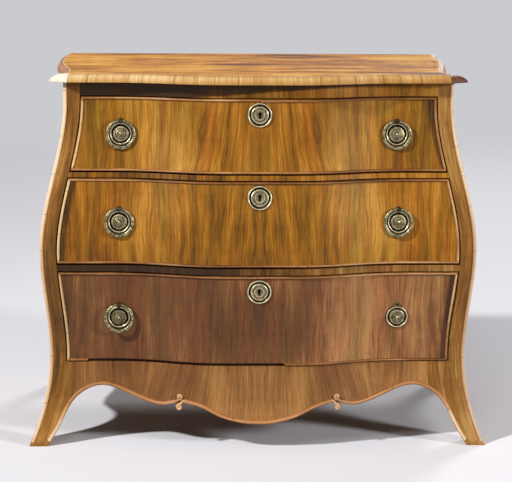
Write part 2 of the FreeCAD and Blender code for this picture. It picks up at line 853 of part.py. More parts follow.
def seat(x, z, radius):
    """A frame for a round plate on the front's surface: local Z points outwards, local Y up."""
    slope_x = (front_y(x + radius, z) - front_y(x - radius, z)) / (2.0 * radius)
    slope_z = (front_y(x, z + radius) - front_y(x, z - radius)) / (2.0 * radius)
    middle = front_y(x, z)
    lift = 0.0
    for probe in range(seat_probes):
        angle = 2.0 * math.pi * probe / seat_probes
        dx = radius * math.cos(angle)
        dz = radius * math.sin(angle)
        plane = middle + slope_x * dx + slope_z * dz
        lift = max(lift, plane - front_y(x + dx, z + dz))
    normal = V(slope_x, -1.0, slope_z)
    normal.normalize()
    across = V(1.0, slope_x, 0)
    up = normal.cross(across)
    turn = FreeCAD.Rotation(across, up, normal, "ZXY")
    return FreeCAD.Placement(V(x, middle - lift, z), turn)


def disc(radius, z0, z1):
    return Part.makeCylinder(radius, z1 - z0, V(0, 0, z0))


def ring_step(outer, inner, z0, z1):
    return disc(outer, z0, z1).cut(disc(inner, z0, z1))


def placed(shape, frame):
    shape = shape.copy()
    shape.Placement = frame.multiply(shape.Placement)
    return shape


def handle_plate(frame):
    """A stamped round plate with a rim, a stepped boss, a knob and a lug for the pivot post."""
    plate = disc(plate_radius, 0, plate_thickness)
    lug = box(-lug_width / 2.0, lug_width / 2.0, 0, pivot_rise, 0, plate_thickness)
    lug_end = Part.makeCylinder(lug_width / 2.0, plate_thickness, V(0, pivot_rise, 0))
    plate = plate.fuse(lug).fuse(lug_end)
    plate = plate.fuse(ring_step(plate_radius, plate_radius - plate_rim_width, 0, plate_rim_height))
    plate = plate.fuse(disc(boss_radius, 0, boss_height)).fuse(disc(boss_step_radius, 0, boss_step_height))
    plate = plate.fuse(Part.makeSphere(knob_radius, V(0, 0, boss_step_height - knob_radius / 2.0)))
    return placed(plate.removeSplitter(), frame)


def pivot_point(name, sign):
    x = sign * handle_positions[name]
    z = (drawer_bottoms[name] + drawer_tops[name]) / 2.0 + pivot_rise
    return V(x, front_y(x, z) - pivot_stand, z)


def handle_post(name, sign):
    """The pivot post with its eye for the ring, and the nut inside the drawer."""
    pivot = pivot_point(name, sign)
    inner = inner_face_y(name) - serpentine(pivot.x)
    head = Part.makeSphere(pivot_head_radius, pivot)
    stem_end = inner + nut_thickness + stem_end_length
    stem = Part.makeCylinder(pivot_stem_radius, stem_end - pivot.y, pivot, V(0, 1, 0))
    eye = Part.makeCylinder(ring_bar_radius + pivot_hole_clearance, 4.0 * pivot_head_radius,
                            pivot - V(2.0 * pivot_head_radius, 0, 0), V(1, 0, 0))
    post = head.fuse(stem).removeSplitter().cut(eye)
    rise = abs(serpentine(pivot.x + nut_radius) - serpentine(pivot.x - nut_radius)) / 2.0
    corners = []
    for i in range(nut_sides + 1):
        angle = 2.0 * math.pi * i / nut_sides
        corners.append(pivot + V(nut_radius * math.cos(angle), inner + rise - pivot.y,
                                 nut_radius * math.sin(angle)))
    nut = prism(polygon_edges(corners), V(0, nut_thickness, 0)).cut(stem)
    return largest(post), largest(nut)


def ring_tilt(pivot):
    """Degrees that the hanging ring leans out, where the wood below stops it hanging straight."""
    clearance = ring_bar_radius + ring_wood_clearance
    for step in range(ring_most_tilt * ring_tilt_steps):
        tilt = math.radians(step / ring_tilt_steps)
        clear = True
        for probe in range(ring_probes):
            angle = 2.0 * math.pi * probe / ring_probes
            drop = ring_radius * (1.0 - math.cos(angle))
            x = pivot.x + ring_radius * math.sin(angle)
            z = pivot.z - drop * math.cos(tilt)
            y = pivot.y - drop * math.sin(tilt)
            if y > front_y(x, z) - clearance:
                clear = False
        if clear:
            break
    return step / ring_tilt_steps


def handle_ring(name, sign):
    pivot = pivot_point(name, sign)
    tilt = ring_tilt(pivot)
    ring = Part.makeTorus(ring_radius, ring_bar_radius, pivot - V(0, 0, ring_radius), V(0, 1, 0))
    ring.rotate(pivot, V(1, 0, 0), -tilt)
    return ring


def make_escutcheon(name):
    z = keyhole_z(name) - keyhole_slot_length / 4.0
    plate = disc(escutcheon_radius, 0, escutcheon_thickness)
    rim_inner = escutcheon_radius - escutcheon_rim_width
    rim = ring_step(escutcheon_radius, rim_inner, 0, escutcheon_rim_height)
    plate = plate.fuse(rim).fuse(disc(escutcheon_disc_radius, 0, escutcheon_disc_height))
    plate = placed(plate.removeSplitter(), seat(0, z, escutcheon_radius))
    return largest(plate.cut(keyhole_cutter(name)))


# ---------------------------------------------------------------- drawers

def make_cockbead(name):
    """Four strips round a drawer front, standing proud of it; some of the bottom one may be lost."""
    low = drawer_bottoms[name]
    high = drawer_tops[name]
    inset = stile_width + drawer_gap
    strip = front_skin(-cockbead_proud, cockbead_inset)
    whole = between_outlines(inset, low, high).common(strip)
    inside = between_outlines(inset + cockbead_width, low + cockbead_width, high - cockbead_width)
    top_slab = box(-far_x, far_x, far_front, far_back, high - cockbead_width, high)
    bottom_slab = box(-far_x, far_x, far_front, far_back, low, low + cockbead_width)
    top_strip = whole.common(top_slab)
    bottom_strip = whole.common(bottom_slab)
    uprights = solids(whole.cut(inside).cut(top_slab).cut(bottom_slab))
    housing = [top_strip, bottom_strip] + uprights
    kept = [top_strip] + uprights
    if name == "bottom":
        lost = box(lost_bead_left, lost_bead_right, far_front, far_back, low, low + cockbead_width)
        kept += solids(bottom_strip.cut(lost))
    else:
        kept.append(bottom_strip)
    return housing, [largest(piece) for piece in kept]


def dovetails(x0, x1, y0, direction, z0, z1, length):
    """Tails that leave a board's end at y0; each is narrow at its root and wide at its tip."""
    tails = []
    pitch = (z1 - z0) / tail_count
    for i in range(tail_count):
        middle = z0 + (i + 0.5) * pitch
        root = tail_root_share * pitch / 2.0
        tip = root + tail_flare
        y1 = y0 + direction * length
        corners = [V(x0, y0, middle - root), V(x0, y1, middle - tip), V(x0, y1, middle + tip),
                   V(x0, y0, middle + root), V(x0, y0, middle - root)]
        tails.append(prism(polygon_edges(corners), V(x1 - x0, 0, 0)))
    return tails


def make_drawer_box(name):
    """The bottom board, the two dovetailed sides and the back of one drawer."""
    low = drawer_bottoms[name]
    high = drawer_tops[name]
    half = box_half_width(name)
    inner = inner_face_y(name)
    side_low = low - drawer_gap + runner_clearance
    side_high = high - box_top_drop
    back_outer = boards_front_y - box_back_setback
    back_inner = back_outer - box_back_board
    back_high = side_high - back_top_drop
    bottom_low = side_low + box_bottom_lift
    bottom_high = bottom_low + box_bottom_board

    bottom = behind_serpentine(inner - box_groove, bottom_low, bottom_high)
    bottom_half = half - box_board + box_groove
    bottom = bottom.common(box(-bottom_half, bottom_half, far_front, back_outer, bottom_low, bottom_high))

    side = box(half - box_board, half, inner, back_inner, side_low, side_high)
    tails = dovetails(half - box_board, half, inner, -1, side_low, side_high, tail_length)
    tails += dovetails(half - box_board, half, back_inner, 1, bottom_high, back_high, box_back_board)
    for tail in tails:
        side = side.fuse(tail)
    side = side.removeSplitter().cut(bottom)
    left_side = mirrored(side)

    back = box(-half, half, back_inner, back_outer, bottom_high, back_high)
    back = back.cut(side).cut(left_side)
    return bottom, side, left_side, back


def make_lock(name):
    """The lock case and its bolt, and what they need cut out of the drawer front."""
    keyhole = keyhole_z(name)
    case_low = keyhole - (lock_height - lock_above_keyhole)
    case_high = keyhole + lock_above_keyhole
    lock_y = lock_front_y(name)
    half = lock_width / 2.0
    case = box(-half, half, lock_y, lock_y + lock_depth, case_low, case_high)
    housing = box(-half, half, lock_y, lock_y + lock_depth + margin, case_low, case_high)
    bolt = bolt_box(name, 0.0, keyhole, drawer_tops[name] - bolt_top_drop)
    slot = bolt_box(name, bolt_clearance, keyhole - bolt_clearance, drawer_tops[name] + margin)
    hole = keyhole_cutter(name)
    return largest(case.cut(slot).cut(hole)), bolt, [housing, slot, hole]


def make_handles(name):
    """Plates and pivot posts with their nuts, and the holes that the stems pass through."""
    plates = []
    posts = []
    holes = []
    middle_z = (drawer_bottoms[name] + drawer_tops[name]) / 2.0
    for sign, side in ((-1, "left"), (1, "right")):
        plate = handle_plate(seat(sign * handle_positions[name], middle_z, plate_radius))
        post, nut = handle_post(name, sign)
        hole = Part.makeCylinder(pivot_stem_radius, margin + 2.0 * pivot_stand,
                                 pivot_point(name, sign), V(0, 1, 0))
        holes.append(hole)
        plates.append(largest(plate.cut(hole).cut(post)))
        if side in handle_sides[name]:
            posts += [post, nut]
    return plates, posts, holes


def make_drawer(name):
    """One drawer: nodes of its own body, by short name."""
    low = drawer_bottoms[name]
    high = drawer_tops[name]
    front = between_outlines(stile_width + drawer_gap, low, high).common(front_skin(0, 2.0 * front_reach))
    front = front.cut(behind_serpentine(inner_face_y(name), low - margin, high + margin))
    housing, beads = make_cockbead(name)
    bottom, side, left_side, back = make_drawer_box(name)
    lock, bolt, lock_cutters = make_lock(name)
    plates, posts, holes = make_handles(name)
    for cutter in housing + [bottom, side, left_side] + lock_cutters + holes + plates:
        front = front.cut(cutter)
    return {"front": [largest(front)], "side_left": [largest(left_side)], "side_right": [largest(side)],
            "back": [largest(back)], "bottom": [largest(bottom)], "cockbead": beads,
            "escutcheon": [make_escutcheon(name)], "lock_case": [lock], "lock_bolt": [bolt],
            "handle_plates": plates, "handle_posts": posts}


# ---------------------------------------------------------------- all nodes

def make_nodes():
    nodes = make_top()
    nodes.update(make_case())
    for name in drawer_names:
        for short, pieces in make_drawer(name).items():
            nodes[name + "_drawer_" + short] = pieces
        for side in handle_sides[name]:
            nodes[name + "_ring_" + side] = [handle_ring(name, -1 if side == "left" else 1)]
    return nodes


def save(nodes):
    os.makedirs("parts", exist_ok=True)
    for name, pieces in nodes.items():
        shape = pieces[0] if len(pieces) == 1 else Part.makeCompound(pieces)
        shape.exportStep(os.path.join("parts", name + ".step"))


if __name__ == "__main__":
    save(make_nodes())
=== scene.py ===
import json
import math

import bmesh
import bpy
import numpy as np
from mathutils import Matrix, Vector


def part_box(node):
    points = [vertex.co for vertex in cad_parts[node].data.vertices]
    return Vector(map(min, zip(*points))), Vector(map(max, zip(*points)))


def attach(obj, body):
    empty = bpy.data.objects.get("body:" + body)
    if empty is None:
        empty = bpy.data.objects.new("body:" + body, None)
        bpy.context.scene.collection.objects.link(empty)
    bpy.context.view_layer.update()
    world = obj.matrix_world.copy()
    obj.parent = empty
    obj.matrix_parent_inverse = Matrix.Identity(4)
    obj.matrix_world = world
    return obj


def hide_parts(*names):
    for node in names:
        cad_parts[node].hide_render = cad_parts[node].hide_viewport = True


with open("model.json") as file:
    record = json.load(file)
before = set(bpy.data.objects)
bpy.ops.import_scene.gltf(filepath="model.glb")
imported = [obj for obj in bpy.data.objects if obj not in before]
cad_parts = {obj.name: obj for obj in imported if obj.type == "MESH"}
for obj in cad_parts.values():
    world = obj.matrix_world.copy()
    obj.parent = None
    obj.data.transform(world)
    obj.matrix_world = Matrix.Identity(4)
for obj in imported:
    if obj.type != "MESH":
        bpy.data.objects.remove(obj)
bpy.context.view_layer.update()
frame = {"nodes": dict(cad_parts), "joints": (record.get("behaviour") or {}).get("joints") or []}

# The looks of a three-drawer bombe chest, in metres, in the construction's frame: +Z up, front towards -Y.
# Each point of a piece has its place, its grain coordinates (across, along, leaf) and its tone: 0.5 is plain
# and more is paler, and in places the tone carries painted light and shade. A leaf is one sheet of veneer:
# pieces with different leaves have different streaks.

# ---------------------------------------------------------------- the case's form, as it is built

ankle_half_width = 0.4545
belly_half_width = 0.4735
neck_half_width = 0.4215
ankle_height = 0.200
belly_height = 0.428
neck_height = 0.750
foot_half_width = 0.499
front_swell_ratio = 0.8
serpentine_depth = 0.048
serpentine_flat = 0.060
serpentine_reach = 0.330
side_waist = 0.009
side_waist_length = 0.300

# top
top_front_overhang = 0.026
top_back_overhang = 0.005
top_front_half_width = 0.412
ear_tip_half_width = 0.451
top_waist_half_width = {-1: 0.424, 1: 0.414}     # left and right
top_waist_setback = {-1: 0.040, 1: 0.055}
top_hip_half_width = {-1: 0.453, 1: 0.441}
top_hip_setback = {-1: 0.350, 1: 0.400}
top_back_half_width = 0.447
hip_fullness = 0.66
corner_fullness = 0.3
corner_start = 0.7
moulding_width = 0.024
moulding_round = 0.0165
moulding_inner_easing = 0.0005
side_joint_inset = 0.013
side_joint_line = 0.002

# posts, feet and apron
stile_width = 0.0365
post_depth = 0.045
post_inner_step = 0.002
post_inner_easing = 0.001
post_corner_easing = 0.0008
side_joint_setback = 0.045
foot_width = 0.0395
shin_width = 0.050
shin_inner_limit = 0.390
knee_height = 0.097
knee_width = 0.0625
knee_top = 0.150          # at the post's corner; the next two also
apron_joint_top = 0.172
stile_start = 0.190
arch_peak_half_width = 0.343
arch_peak_height = 0.1305
lobe_half_width = 0.205
lobe_height = 0.092
cusp_half_width = 0.172
cusp_height = 0.100
drop_shoulder_half_width = 0.088
drop_shoulder_height = 0.074
drop_height = 0.0575
drop_curve_in = 0.005     # how far the drop's upper curve stands off the straight line; the next one also
drop_curve_rise = 0.004
foot_line_top = 0.050     # under this the side line is the foot's alone
apron_thickness = 0.022
side_arch_height = 0.128
side_drop_height = 0.108
side_edge_low = 0.090     # under this the side's lower edge is the feet's alone
arch_overlap = 0.01       # how much of the side's lower edge is read beyond a piece's end
rear_post_depth = 0.046
rear_post_width = 0.034
rear_toe_easing = 0.009
side_thickness = 0.020

# beads
hair = 0.0002             # keeps two surfaces from falling together
corner_bead_size = 0.008
corner_bead_proud = 0.001
corner_bead_side_proud = 0.0004
corner_bead_bulge = 0.0006
bead_foot_height = 0.009
bead_sunk = 0.003
bead_edge_lift = 0.0005
apron_bead_width = 0.008
apron_bead_proud = 0.0025
scroll_rise = 0.0125
scroll_spacing = 0.022
scroll_sweep = math.radians(430.0)
scroll_reach = (0.0060, 0.0004)   # at the start and at the end of the winding; the next two also
scroll_bar = (0.0024, 0.0040)
scroll_lift = (0.0002, 0.0028)
scroll_neck = 0.004
cockbead_width = 0.005
cockbead_proud = 0.003
rebate_depth = 0.006
rebate_overlap = 0.001
lost_bead_left = -0.374
lost_bead_right = 0.057
split_slip = 0.0011
split_length = 0.2
strip_margin = 0.002      # a point of a strip lies nearer than this to the front's edge
mitre_margin = 0.004      # and an upright's point farther than this from its corners

# drawer fronts and rails
drawer_gap = 0.0015
rail_depth = 0.060
rail_easing = 0.0022
stile_easing = 0.0014
top_rail_depth = 0.030

# brasses
plate_radius = 0.025
plate_turns = 120
ring_radius = 0.0295
ring_bar = 0.0031
ring_neck_bar = 0.0021
ring_inner_bar = (0.0039, 0.0008)   # the inner edge's mean reach, and how much it grows downwards
ring_flatness = 0.95
ring_cords = 36.0
pivot_rise = 0.0285
lug_rise = 0.022
lug_levels = ((0.0002, 0.0055), (0.0016, 0.0055), (0.0018, 0.0048))   # height and half width
lug_hole_levels = (0.0016, 0.00195)
lug_hole_radius = 0.0019
escutcheon_radius = 0.0265
keyhole_drop = 0.031
keyhole_radius = 0.0033
keyhole_slot_half_width = 0.0021
keyhole_slot_end = 0.0095
keyhole_rim = 0.0003
relief_to_tone = 900.0              # tone gained for each metre of stamped relief
bolt_throw = 0.008
bolt_clearance = 0.0005

# ---------------------------------------------------------------- places taken from the frame

case_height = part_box("front_post_right")[1].z
joint_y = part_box("front_post_right")[1].y
neck_y = joint_y - side_joint_setback
top_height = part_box("top_panel")[1].z
case_back_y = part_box("back_boards")[1].y
rear_post_y = case_back_y - rear_post_depth
apron_low, apron_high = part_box("front_apron")
apron_top = apron_high.z

plain_tone = 0.5
sides = {-1: "left", 1: "right"}
apron_joints = {-1: -apron_low.x, 1: apron_high.x}
drawers = ["top", "middle", "bottom"]
handle_positions = {"top": 0.298, "middle": 0.302, "bottom": 0.303}
ring_sides = {"top": ["left", "right"], "middle": ["left", "right"], "bottom": ["left"]}


def drawer_box(drawer):
    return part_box(drawer + "_drawer_front")


def lerp(a, b, t):
    return a + (b - a) * t


def steps(low, high, count):
    return [lerp(low, high, i / (count - 1)) for i in range(count)]


def clamp(t):
    return min(max(t, 0.0), 1.0)


def ease(t):
    t = clamp(t)
    return t * t * (3.0 - 2.0 * t)


def soft_ease(t):
    t = clamp(t)
    return t * t * t * (t * (6.0 * t - 15.0) + 10.0)


def rise(value, start, length):
    """Goes from 0 to 1 over a length."""
    return ease((value - start) / length)


def hump(value, middle, width):
    """1 in the middle and falling to 0 on both sides."""
    return math.exp(-((value - middle) / width) ** 2)


def half_width(z):
    if z < ankle_height:
        return lerp(ankle_half_width, foot_half_width, (1.0 - z / ankle_height) ** 2)
    if z < belly_height:
        return lerp(ankle_half_width, belly_half_width, rise(z, ankle_height, belly_height - ankle_height))
    return lerp(belly_half_width, neck_half_width, rise(z, belly_height, neck_height - belly_height))


def serpentine(x):
    share = soft_ease((abs(x) - serpentine_flat) / (serpentine_reach - serpentine_flat))
    return serpentine_depth * (1.0 - share)


def corner_y(z):
    return neck_y - front_swell_ratio * (half_width(z) - neck_half_width)


def front_y(x, z):
    return corner_y(z) - serpentine(x)


def side_x(y, z):
    along = clamp((y - neck_y) / side_waist_length)
    return half_width(z) - side_waist * math.sin(math.pi * along) ** 2


# ---------------------------------------------------------------- lines

def turns_of(count):
    """Angles spread evenly round a circle."""
    return [2.0 * math.pi * i / count for i in range(count)]


def polar(radius, angle):
    return radius * math.cos(angle), radius * math.sin(angle)


def smooth_line(points, count):
    """Points spread evenly along a natural cubic spline through the given ones."""
    given = np.array(points, float)
    runs = np.linalg.norm(np.diff(given, axis=0), axis=1)
    knots = np.concatenate([[0.0], np.cumsum(runs)])
    n = len(given)
    matrix = np.zeros((n, n))
    right = np.zeros_like(given)
    matrix[0, 0] = matrix[-1, -1] = 1.0
    for i in range(1, n - 1):
        before, after = runs[i - 1], runs[i]
        matrix[i, i - 1:i + 2] = before, 2.0 * (before + after), after
        right[i] = 6.0 * ((given[i + 1] - given[i]) / after - (given[i] - given[i - 1]) / before)
    bend = np.linalg.solve(matrix, right)

    def at(t):
        i = min(max(int(np.searchsorted(knots, t)) - 1, 0), n - 2)
        h = runs[i]
        a = (knots[i + 1] - t) / h
        b = (t - knots[i]) / h
        cubic = ((a ** 3 - a) * bend[i] + (b ** 3 - b) * bend[i + 1]) * h * h / 6.0
        return a * given[i] + b * given[i + 1] + cubic

    fine = np.array([at(t) for t in np.linspace(0.0, knots[-1], 600)])
    reach = np.concatenate([[0.0], np.cumsum(np.linalg.norm(np.diff(fine, axis=0), axis=1))])
    wanted = np.linspace(0.0, reach[-1], count)
    return [tuple(np.interp(w, reach, fine[:, k]) for k in range(fine.shape[1])) for w in wanted]


def crossways(points):
    """For each point of a flat line, the unit direction to the right of the way the line runs."""
    found = []
    for before, after in zip(points[:1] + points[:-1], points[1:] + points[-1:]):
        run = math.dist(before, after)
        found.append(((after[1] - before[1]) / run, -(after[0] - before[0]) / run))
    return found


def offset_line(points, distance):
    """Points of a flat line moved to the right of the way it runs."""
    return [(x + right_x * distance, z + right_z * distance)
            for (x, z), (right_x, right_z) in zip(points, crossways(points))]


def run_lengths(points):
    """Distance along a line to each of its points."""
    lengths = [0.0]
    for before, after in zip(points, points[1:]):
        lengths.append(lengths[-1] + math.dist(before, after))
    return lengths


def read_line(line, value, axis=0):
    """A line's other coordinate where the one along an axis, which grows along the line, has a value."""
    return float(np.interp(value, [p[axis] for p in line], [p[1 - axis] for p in line]))


def foot_edge_point(z):
    width = foot_width + (shin_width - foot_width) * 2.0 * z / knee_height
    return half_width(z) - width, z


def side_edge():
    """The apron's lower edge on the right, from the foot's inner edge to the scroll."""
    arch_rise = arch_peak_height - lobe_height
    arch_run = arch_peak_half_width - lobe_half_width
    return [foot_edge_point(0.0),
            foot_edge_point(bead_foot_height),
            foot_edge_point(knee_height / 2.0),
            (half_width(knee_height) - knee_width, knee_height),
            (arch_peak_half_width + 0.26 * arch_run, arch_peak_height - 0.31 * arch_rise),
            (arch_peak_half_width, arch_peak_height),
            (arch_peak_half_width - 0.39 * arch_run, lobe_height + 0.6 * arch_rise),
            (arch_peak_half_width - 0.7 * arch_run, lobe_height + 0.16 * arch_rise),
            (lobe_half_width, lobe_height),
            (cusp_half_width + apron_bead_width, (lobe_height + 3.0 * cusp_height) / 4.0)]


def middle_edge():
    """The apron's lower edge from the right scroll to the left one."""
    drop = drop_shoulder_height - drop_height
    right = [(cusp_half_width - apron_bead_width, cusp_height),
             ((cusp_half_width + drop_shoulder_half_width) / 2.0 - drop_curve_in,
              (cusp_height + drop_shoulder_height) / 2.0 + drop_curve_rise),
             (drop_shoulder_half_width, drop_shoulder_height),
             (0.6 * drop_shoulder_half_width, drop_height + 0.34 * drop),
             (0.3 * drop_shoulder_half_width, drop_height + 0.06 * drop)]
    return right + [(0.0, drop_height)] + [(-x, z) for x, z in reversed(right)]


def side_arch():
    """Lower edge of the right side in (y, z), from the front foot to the rear foot."""
    mid = knee_height / 2.0
    front = [(corner_y(0) + foot_width, 0.0),
             (corner_y(mid) + shin_width, mid),
             (corner_y(knee_height) + knee_width, knee_height),
             (joint_y + knee_width / 2.0, side_arch_height)]
    rear = [(rear_post_y, 0.0),
            (rear_post_y, mid),
            (case_back_y - knee_width, knee_height),
            (case_back_y - 2.0 * knee_width, side_arch_height)]
    centre = ((front[-1][0] + rear[-1][0]) / 2.0, side_drop_height)
    return front + [centre] + rear[::-1]


side_line = smooth_line(side_edge(), 160)
middle_line = smooth_line(middle_edge(), 120)
side_arch_line = smooth_line(side_arch(), 240)


def apron_edge(x):
    """Height of the apron's lower edge at x, between the joints with the posts."""
    line = middle_line if abs(x) < cusp_half_width else side_line
    return read_line(sorted(p for p in line if p[1] > foot_line_top), abs(x))


# ---------------------------------------------------------------- meshes

# an edge is sharp where its faces turn by more than this
mortise_sharpness = math.radians(25.0)
wood_sharpness = math.radians(38.0)
moulding_sharpness = math.radians(50.0)
plate_sharpness = math.radians(60.0)
ring_sharpness = math.radians(80.0)


class Shape:
    """Collects the points and faces of one piece."""

    def __init__(self):
        self.verts, self.faces, self.grain, self.tone, self.slots = [], [], [], [], []

    def add(self, points, faces, slot=0):
        base = len(self.verts)
        for place, grain, tone in points:
            self.verts.append(tuple(place))
            self.grain.append(grain or (place[0], place[2], 0.0))
            self.tone.append(tone)
        self.faces += [tuple(base + i for i in face) for face in faces]
        self.slots += [slot] * len(faces)
        return self

    def slab(self, front, back):
        """A closed piece between two sheets: front has rows of points, back has rows of places."""
        rows, cols = len(front), len(front[0])
        size = rows * cols
        near = [point for row in front for point in row]
        far = [(place, *point[1:]) for place, point in zip([place for row in back for place in row], near)]
        faces = []
        for i in range(rows - 1):
            for j in range(cols - 1):
                a = i * cols + j
                quad = (a, a + 1, a + cols + 1, a + cols)
                faces += [quad, tuple(size + k for k in reversed(quad))]
        rims = []
        for i in range(rows - 1):
            low, high = i * cols, (i + 1) * cols
            rims += [(low, high), (high + cols - 1, low + cols - 1)]
        for j in range(cols - 1):
            last = (rows - 1) * cols + j
            rims += [(j + 1, j), (last, last + 1)]
        faces += [(a, b, size + b, size + a) for a, b in rims]
        return self.add(near + far, faces)

    def loft(self, rings, closed=False, slot=0):
        """Rings of points joined one after another; the ends are capped unless the path is closed."""
        count, size = len(rings), len(rings[0])
        faces = []
        for i in range(count if closed else count - 1):
            k = (i + 1) % count
            for j in range(size):
                m = (j + 1) % size
                faces.append((i * size + j, i * size + m, k * size + m, k * size + j))
        if not closed:
            faces += [tuple(range(size - 1, -1, -1)), tuple((count - 1) * size + j for j in range(size))]
        return self.add([point for ring in rings for point in ring], faces, slot)

    def dish(self, rows, centre=()):
        """Rows of points from the middle outwards, the last of them closed underneath."""
        base, turns = len(centre), len(rows[0])
        nexts = [(j, (j + 1) % turns) for j in range(turns)]
        faces = [(0, 1 + j, 1 + m) for j, m in nexts] if centre else []
        for k in range(len(rows) - 1):
            a, b = base + k * turns, base + (k + 1) * turns
            faces += [(a + j, b + j, b + m, a + m) for j, m in nexts]
        last = base + (len(rows) - 1) * turns
        faces.append(tuple(last + j for j in range(turns - 1, -1, -1)))
        return self.add([*centre] + [point for row in rows for point in row], faces)


def bolt_room(drawer):
    """The room that a drawer's lock bolt moves in: its lowest and highest corners."""
    low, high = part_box(drawer + "_drawer_lock_bolt")
    around = Vector((bolt_clearance,) * 3)
    return low - around, high + around + Vector((0.0, 0.0, bolt_throw))


def cut_away(obj, room):
    """Cuts a box-shaped mortise out of a closed piece, and settles its rounded edges first."""
    low, high = room
    corners = [(x, y, z) for z in (low.z, high.z) for x, y in
               ((low.x, low.y), (high.x, low.y), (high.x, high.y), (low.x, high.y))]
    faces = [(3, 2, 1, 0), (4, 5, 6, 7)] + [(i, (i + 1) % 4, (i + 1) % 4 + 4, i + 4) for i in range(4)]
    mesh = bpy.data.meshes.new("mortise")
    mesh.from_pydata(corners, [], faces)
    cutter = bpy.data.objects.new("mortise", mesh)
    bpy.context.scene.collection.objects.link(cutter)
    cut = obj.modifiers.new("mortise", "BOOLEAN")
    cut.operation = "DIFFERENCE"
    cut.solver = "EXACT"
    cut.object = cutter
    depsgraph = bpy.context.evaluated_depsgraph_get()
    solid = obj.data
    obj.data = bpy.data.meshes.new_from_object(obj.evaluated_get(depsgraph), depsgraph=depsgraph)
    obj.data.name = solid.name + "_cut"
    obj.data.set_sharp_from_angle(angle=mortise_sharpness)
    obj.modifiers.clear()
    bpy.data.objects.remove(cutter)
    bpy.data.meshes.remove(mesh)
    bpy.data.meshes.remove(solid)


def make_piece(name, shape, materials, nodes, body="carcase", bevel=0.0, sharpness=wood_sharpness,
               room=None):
    """Turns a Shape into an object that rides on a body and stands for its CAD nodes."""
    mesh = bpy.data.meshes.new(name)
    mesh.from_pydata(shape.verts, [], shape.faces)
    grain = mesh.attributes.new("grain", "FLOAT_VECTOR", "POINT")
    grain.data.foreach_set("vector", [c for g in shape.grain for c in g])
    tone = mesh.attributes.new("tone", "FLOAT", "POINT")
    tone.data.foreach_set("value", shape.tone)
    for material in materials:
        mesh.materials.append(material)
    mesh.polygons.foreach_set("material_index", shape.slots)
    work = bmesh.new()
    work.from_mesh(mesh)
    bmesh.ops.recalc_face_normals(work, faces=work.faces)
    work.to_mesh(mesh)
    work.free()
    mesh.shade_smooth()
    mesh.set_sharp_from_angle(angle=sharpness)
    obj = bpy.data.objects.new(name, mesh)
    bpy.context.scene.collection.objects.link(obj)
    if bevel > 0.0:
        rounding = obj.modifiers.new("edges", "BEVEL")
        rounding.width = bevel
        rounding.segments = 2
        rounding.limit_method = "ANGLE"
        rounding.angle_limit = sharpness
        rounding.harden_normals = room is None
    if room:
        cut_away(obj, room)
    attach(obj, body)
    if nodes:
        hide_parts(*nodes)


# ---------------------------------------------------------------- materials

class Nodes:
    """Short calls for building a material's nodes."""

    def __init__(self, name):
        self.material = bpy.data.materials.new(name)
        self.material.use_nodes = True
        self.tree = self.material.node_tree
        self.tree.nodes.clear()
        self.output = self.tree.nodes.new("ShaderNodeOutputMaterial")
        self.shader = self.tree.nodes.new("ShaderNodeBsdfPrincipled")
        self.put(self.output.inputs["Surface"], self.shader.outputs["BSDF"])

    def put(self, socket, value):
        """Links a socket to another one, or sets it to a constant."""
        if isinstance(value, bpy.types.NodeSocket):
            self.tree.links.new(value, socket)
        else:
            socket.default_value = value

    def node(self, kind, inputs, **settings):
        """A node with values for some of its inputs, given by name or by number."""
        node = self.tree.nodes.new("ShaderNode" + kind)
        for name, value in settings.items():
            setattr(node, name, value)
        for socket, value in inputs.items():
            self.put(node.inputs[socket], value)
        return node

    def math(self, operation, a, b=0.0):
        return self.node("Math", {0: a, 1: b}, operation=operation).outputs[0]

    def plus(self, a, b):
        return self.math("ADD", a, b)

    def times(self, a, b):
        return self.math("MULTIPLY", a, b)

    def swing(self, value, gain):
        """A noise's swing about its middle, times a gain."""
        return self.times(self.math("SUBTRACT", value, 0.5), gain)

    def attribute(self, name):
        return self.node("Attribute", {}, attribute_name=name).outputs

    def split(self, vector):
        return self.node("SeparateXYZ", {0: vector}).outputs

    def join(self, x, y, z):
        return self.node("CombineXYZ", {0: x, 1: y, 2: z}).outputs[0]

    def noise(self, vector, scale, detail, rough=0.5):
        return self.node("TexNoise", {"Vector": vector, "Scale": scale, "Detail": detail,
                                      "Roughness": rough}).outputs["Fac"]

    def ramp(self, value, stops):
        node = self.node("ValToRGB", {0: value})
        elements = node.color_ramp.elements
        while len(elements) < len(stops):
            elements.new(0.5)
        for element, (place, colour) in zip(elements, stops):
            element.position = place
            element.color = (*colour, 1.0)
        return node.outputs[0]

    def spread(self, value, low, high, to_low=0.0, to_high=1.0):
        return self.node("MapRange", {"Value": value, "From Min": low, "From Max": high, "To Min": to_low,
                                      "To Max": to_high}).outputs[0]

    def mix(self, factor, a, b, kind="MIX"):
        a, b = (c if isinstance(c, bpy.types.NodeSocket) else (*c, 1.0) for c in (a, b))
        return self.node("Mix", {0: factor, 6: a, 7: b}, data_type="RGBA", blend_type=kind).outputs[2]

    def tint(self, amount, colour, by):
        return self.mix(amount, colour, self.mix(1.0, colour, by, "MULTIPLY"))

    def bump(self, height, strength, distance):
        node = self.node("Bump", {"Height": height, "Strength": strength, "Distance": distance})
        self.put(self.shader.inputs["Normal"], node.outputs[0])

    def finish(self, inputs):
        """Sets the shader's inputs and hands the material over."""
        for name, value in inputs.items():
            self.put(self.shader.inputs[name], value)
        return self.material


def srgb(r, g, b):
    """A colour given as it looks on a screen, 0 to 255, as linear light."""
    return tuple(((c / 255.0 + 0.055) / 1.055) ** 2.4 if c > 10 else c / 255.0 / 12.92 for c in (r, g, b))


def darker(colour, share):
    return tuple(c * share for c in colour)


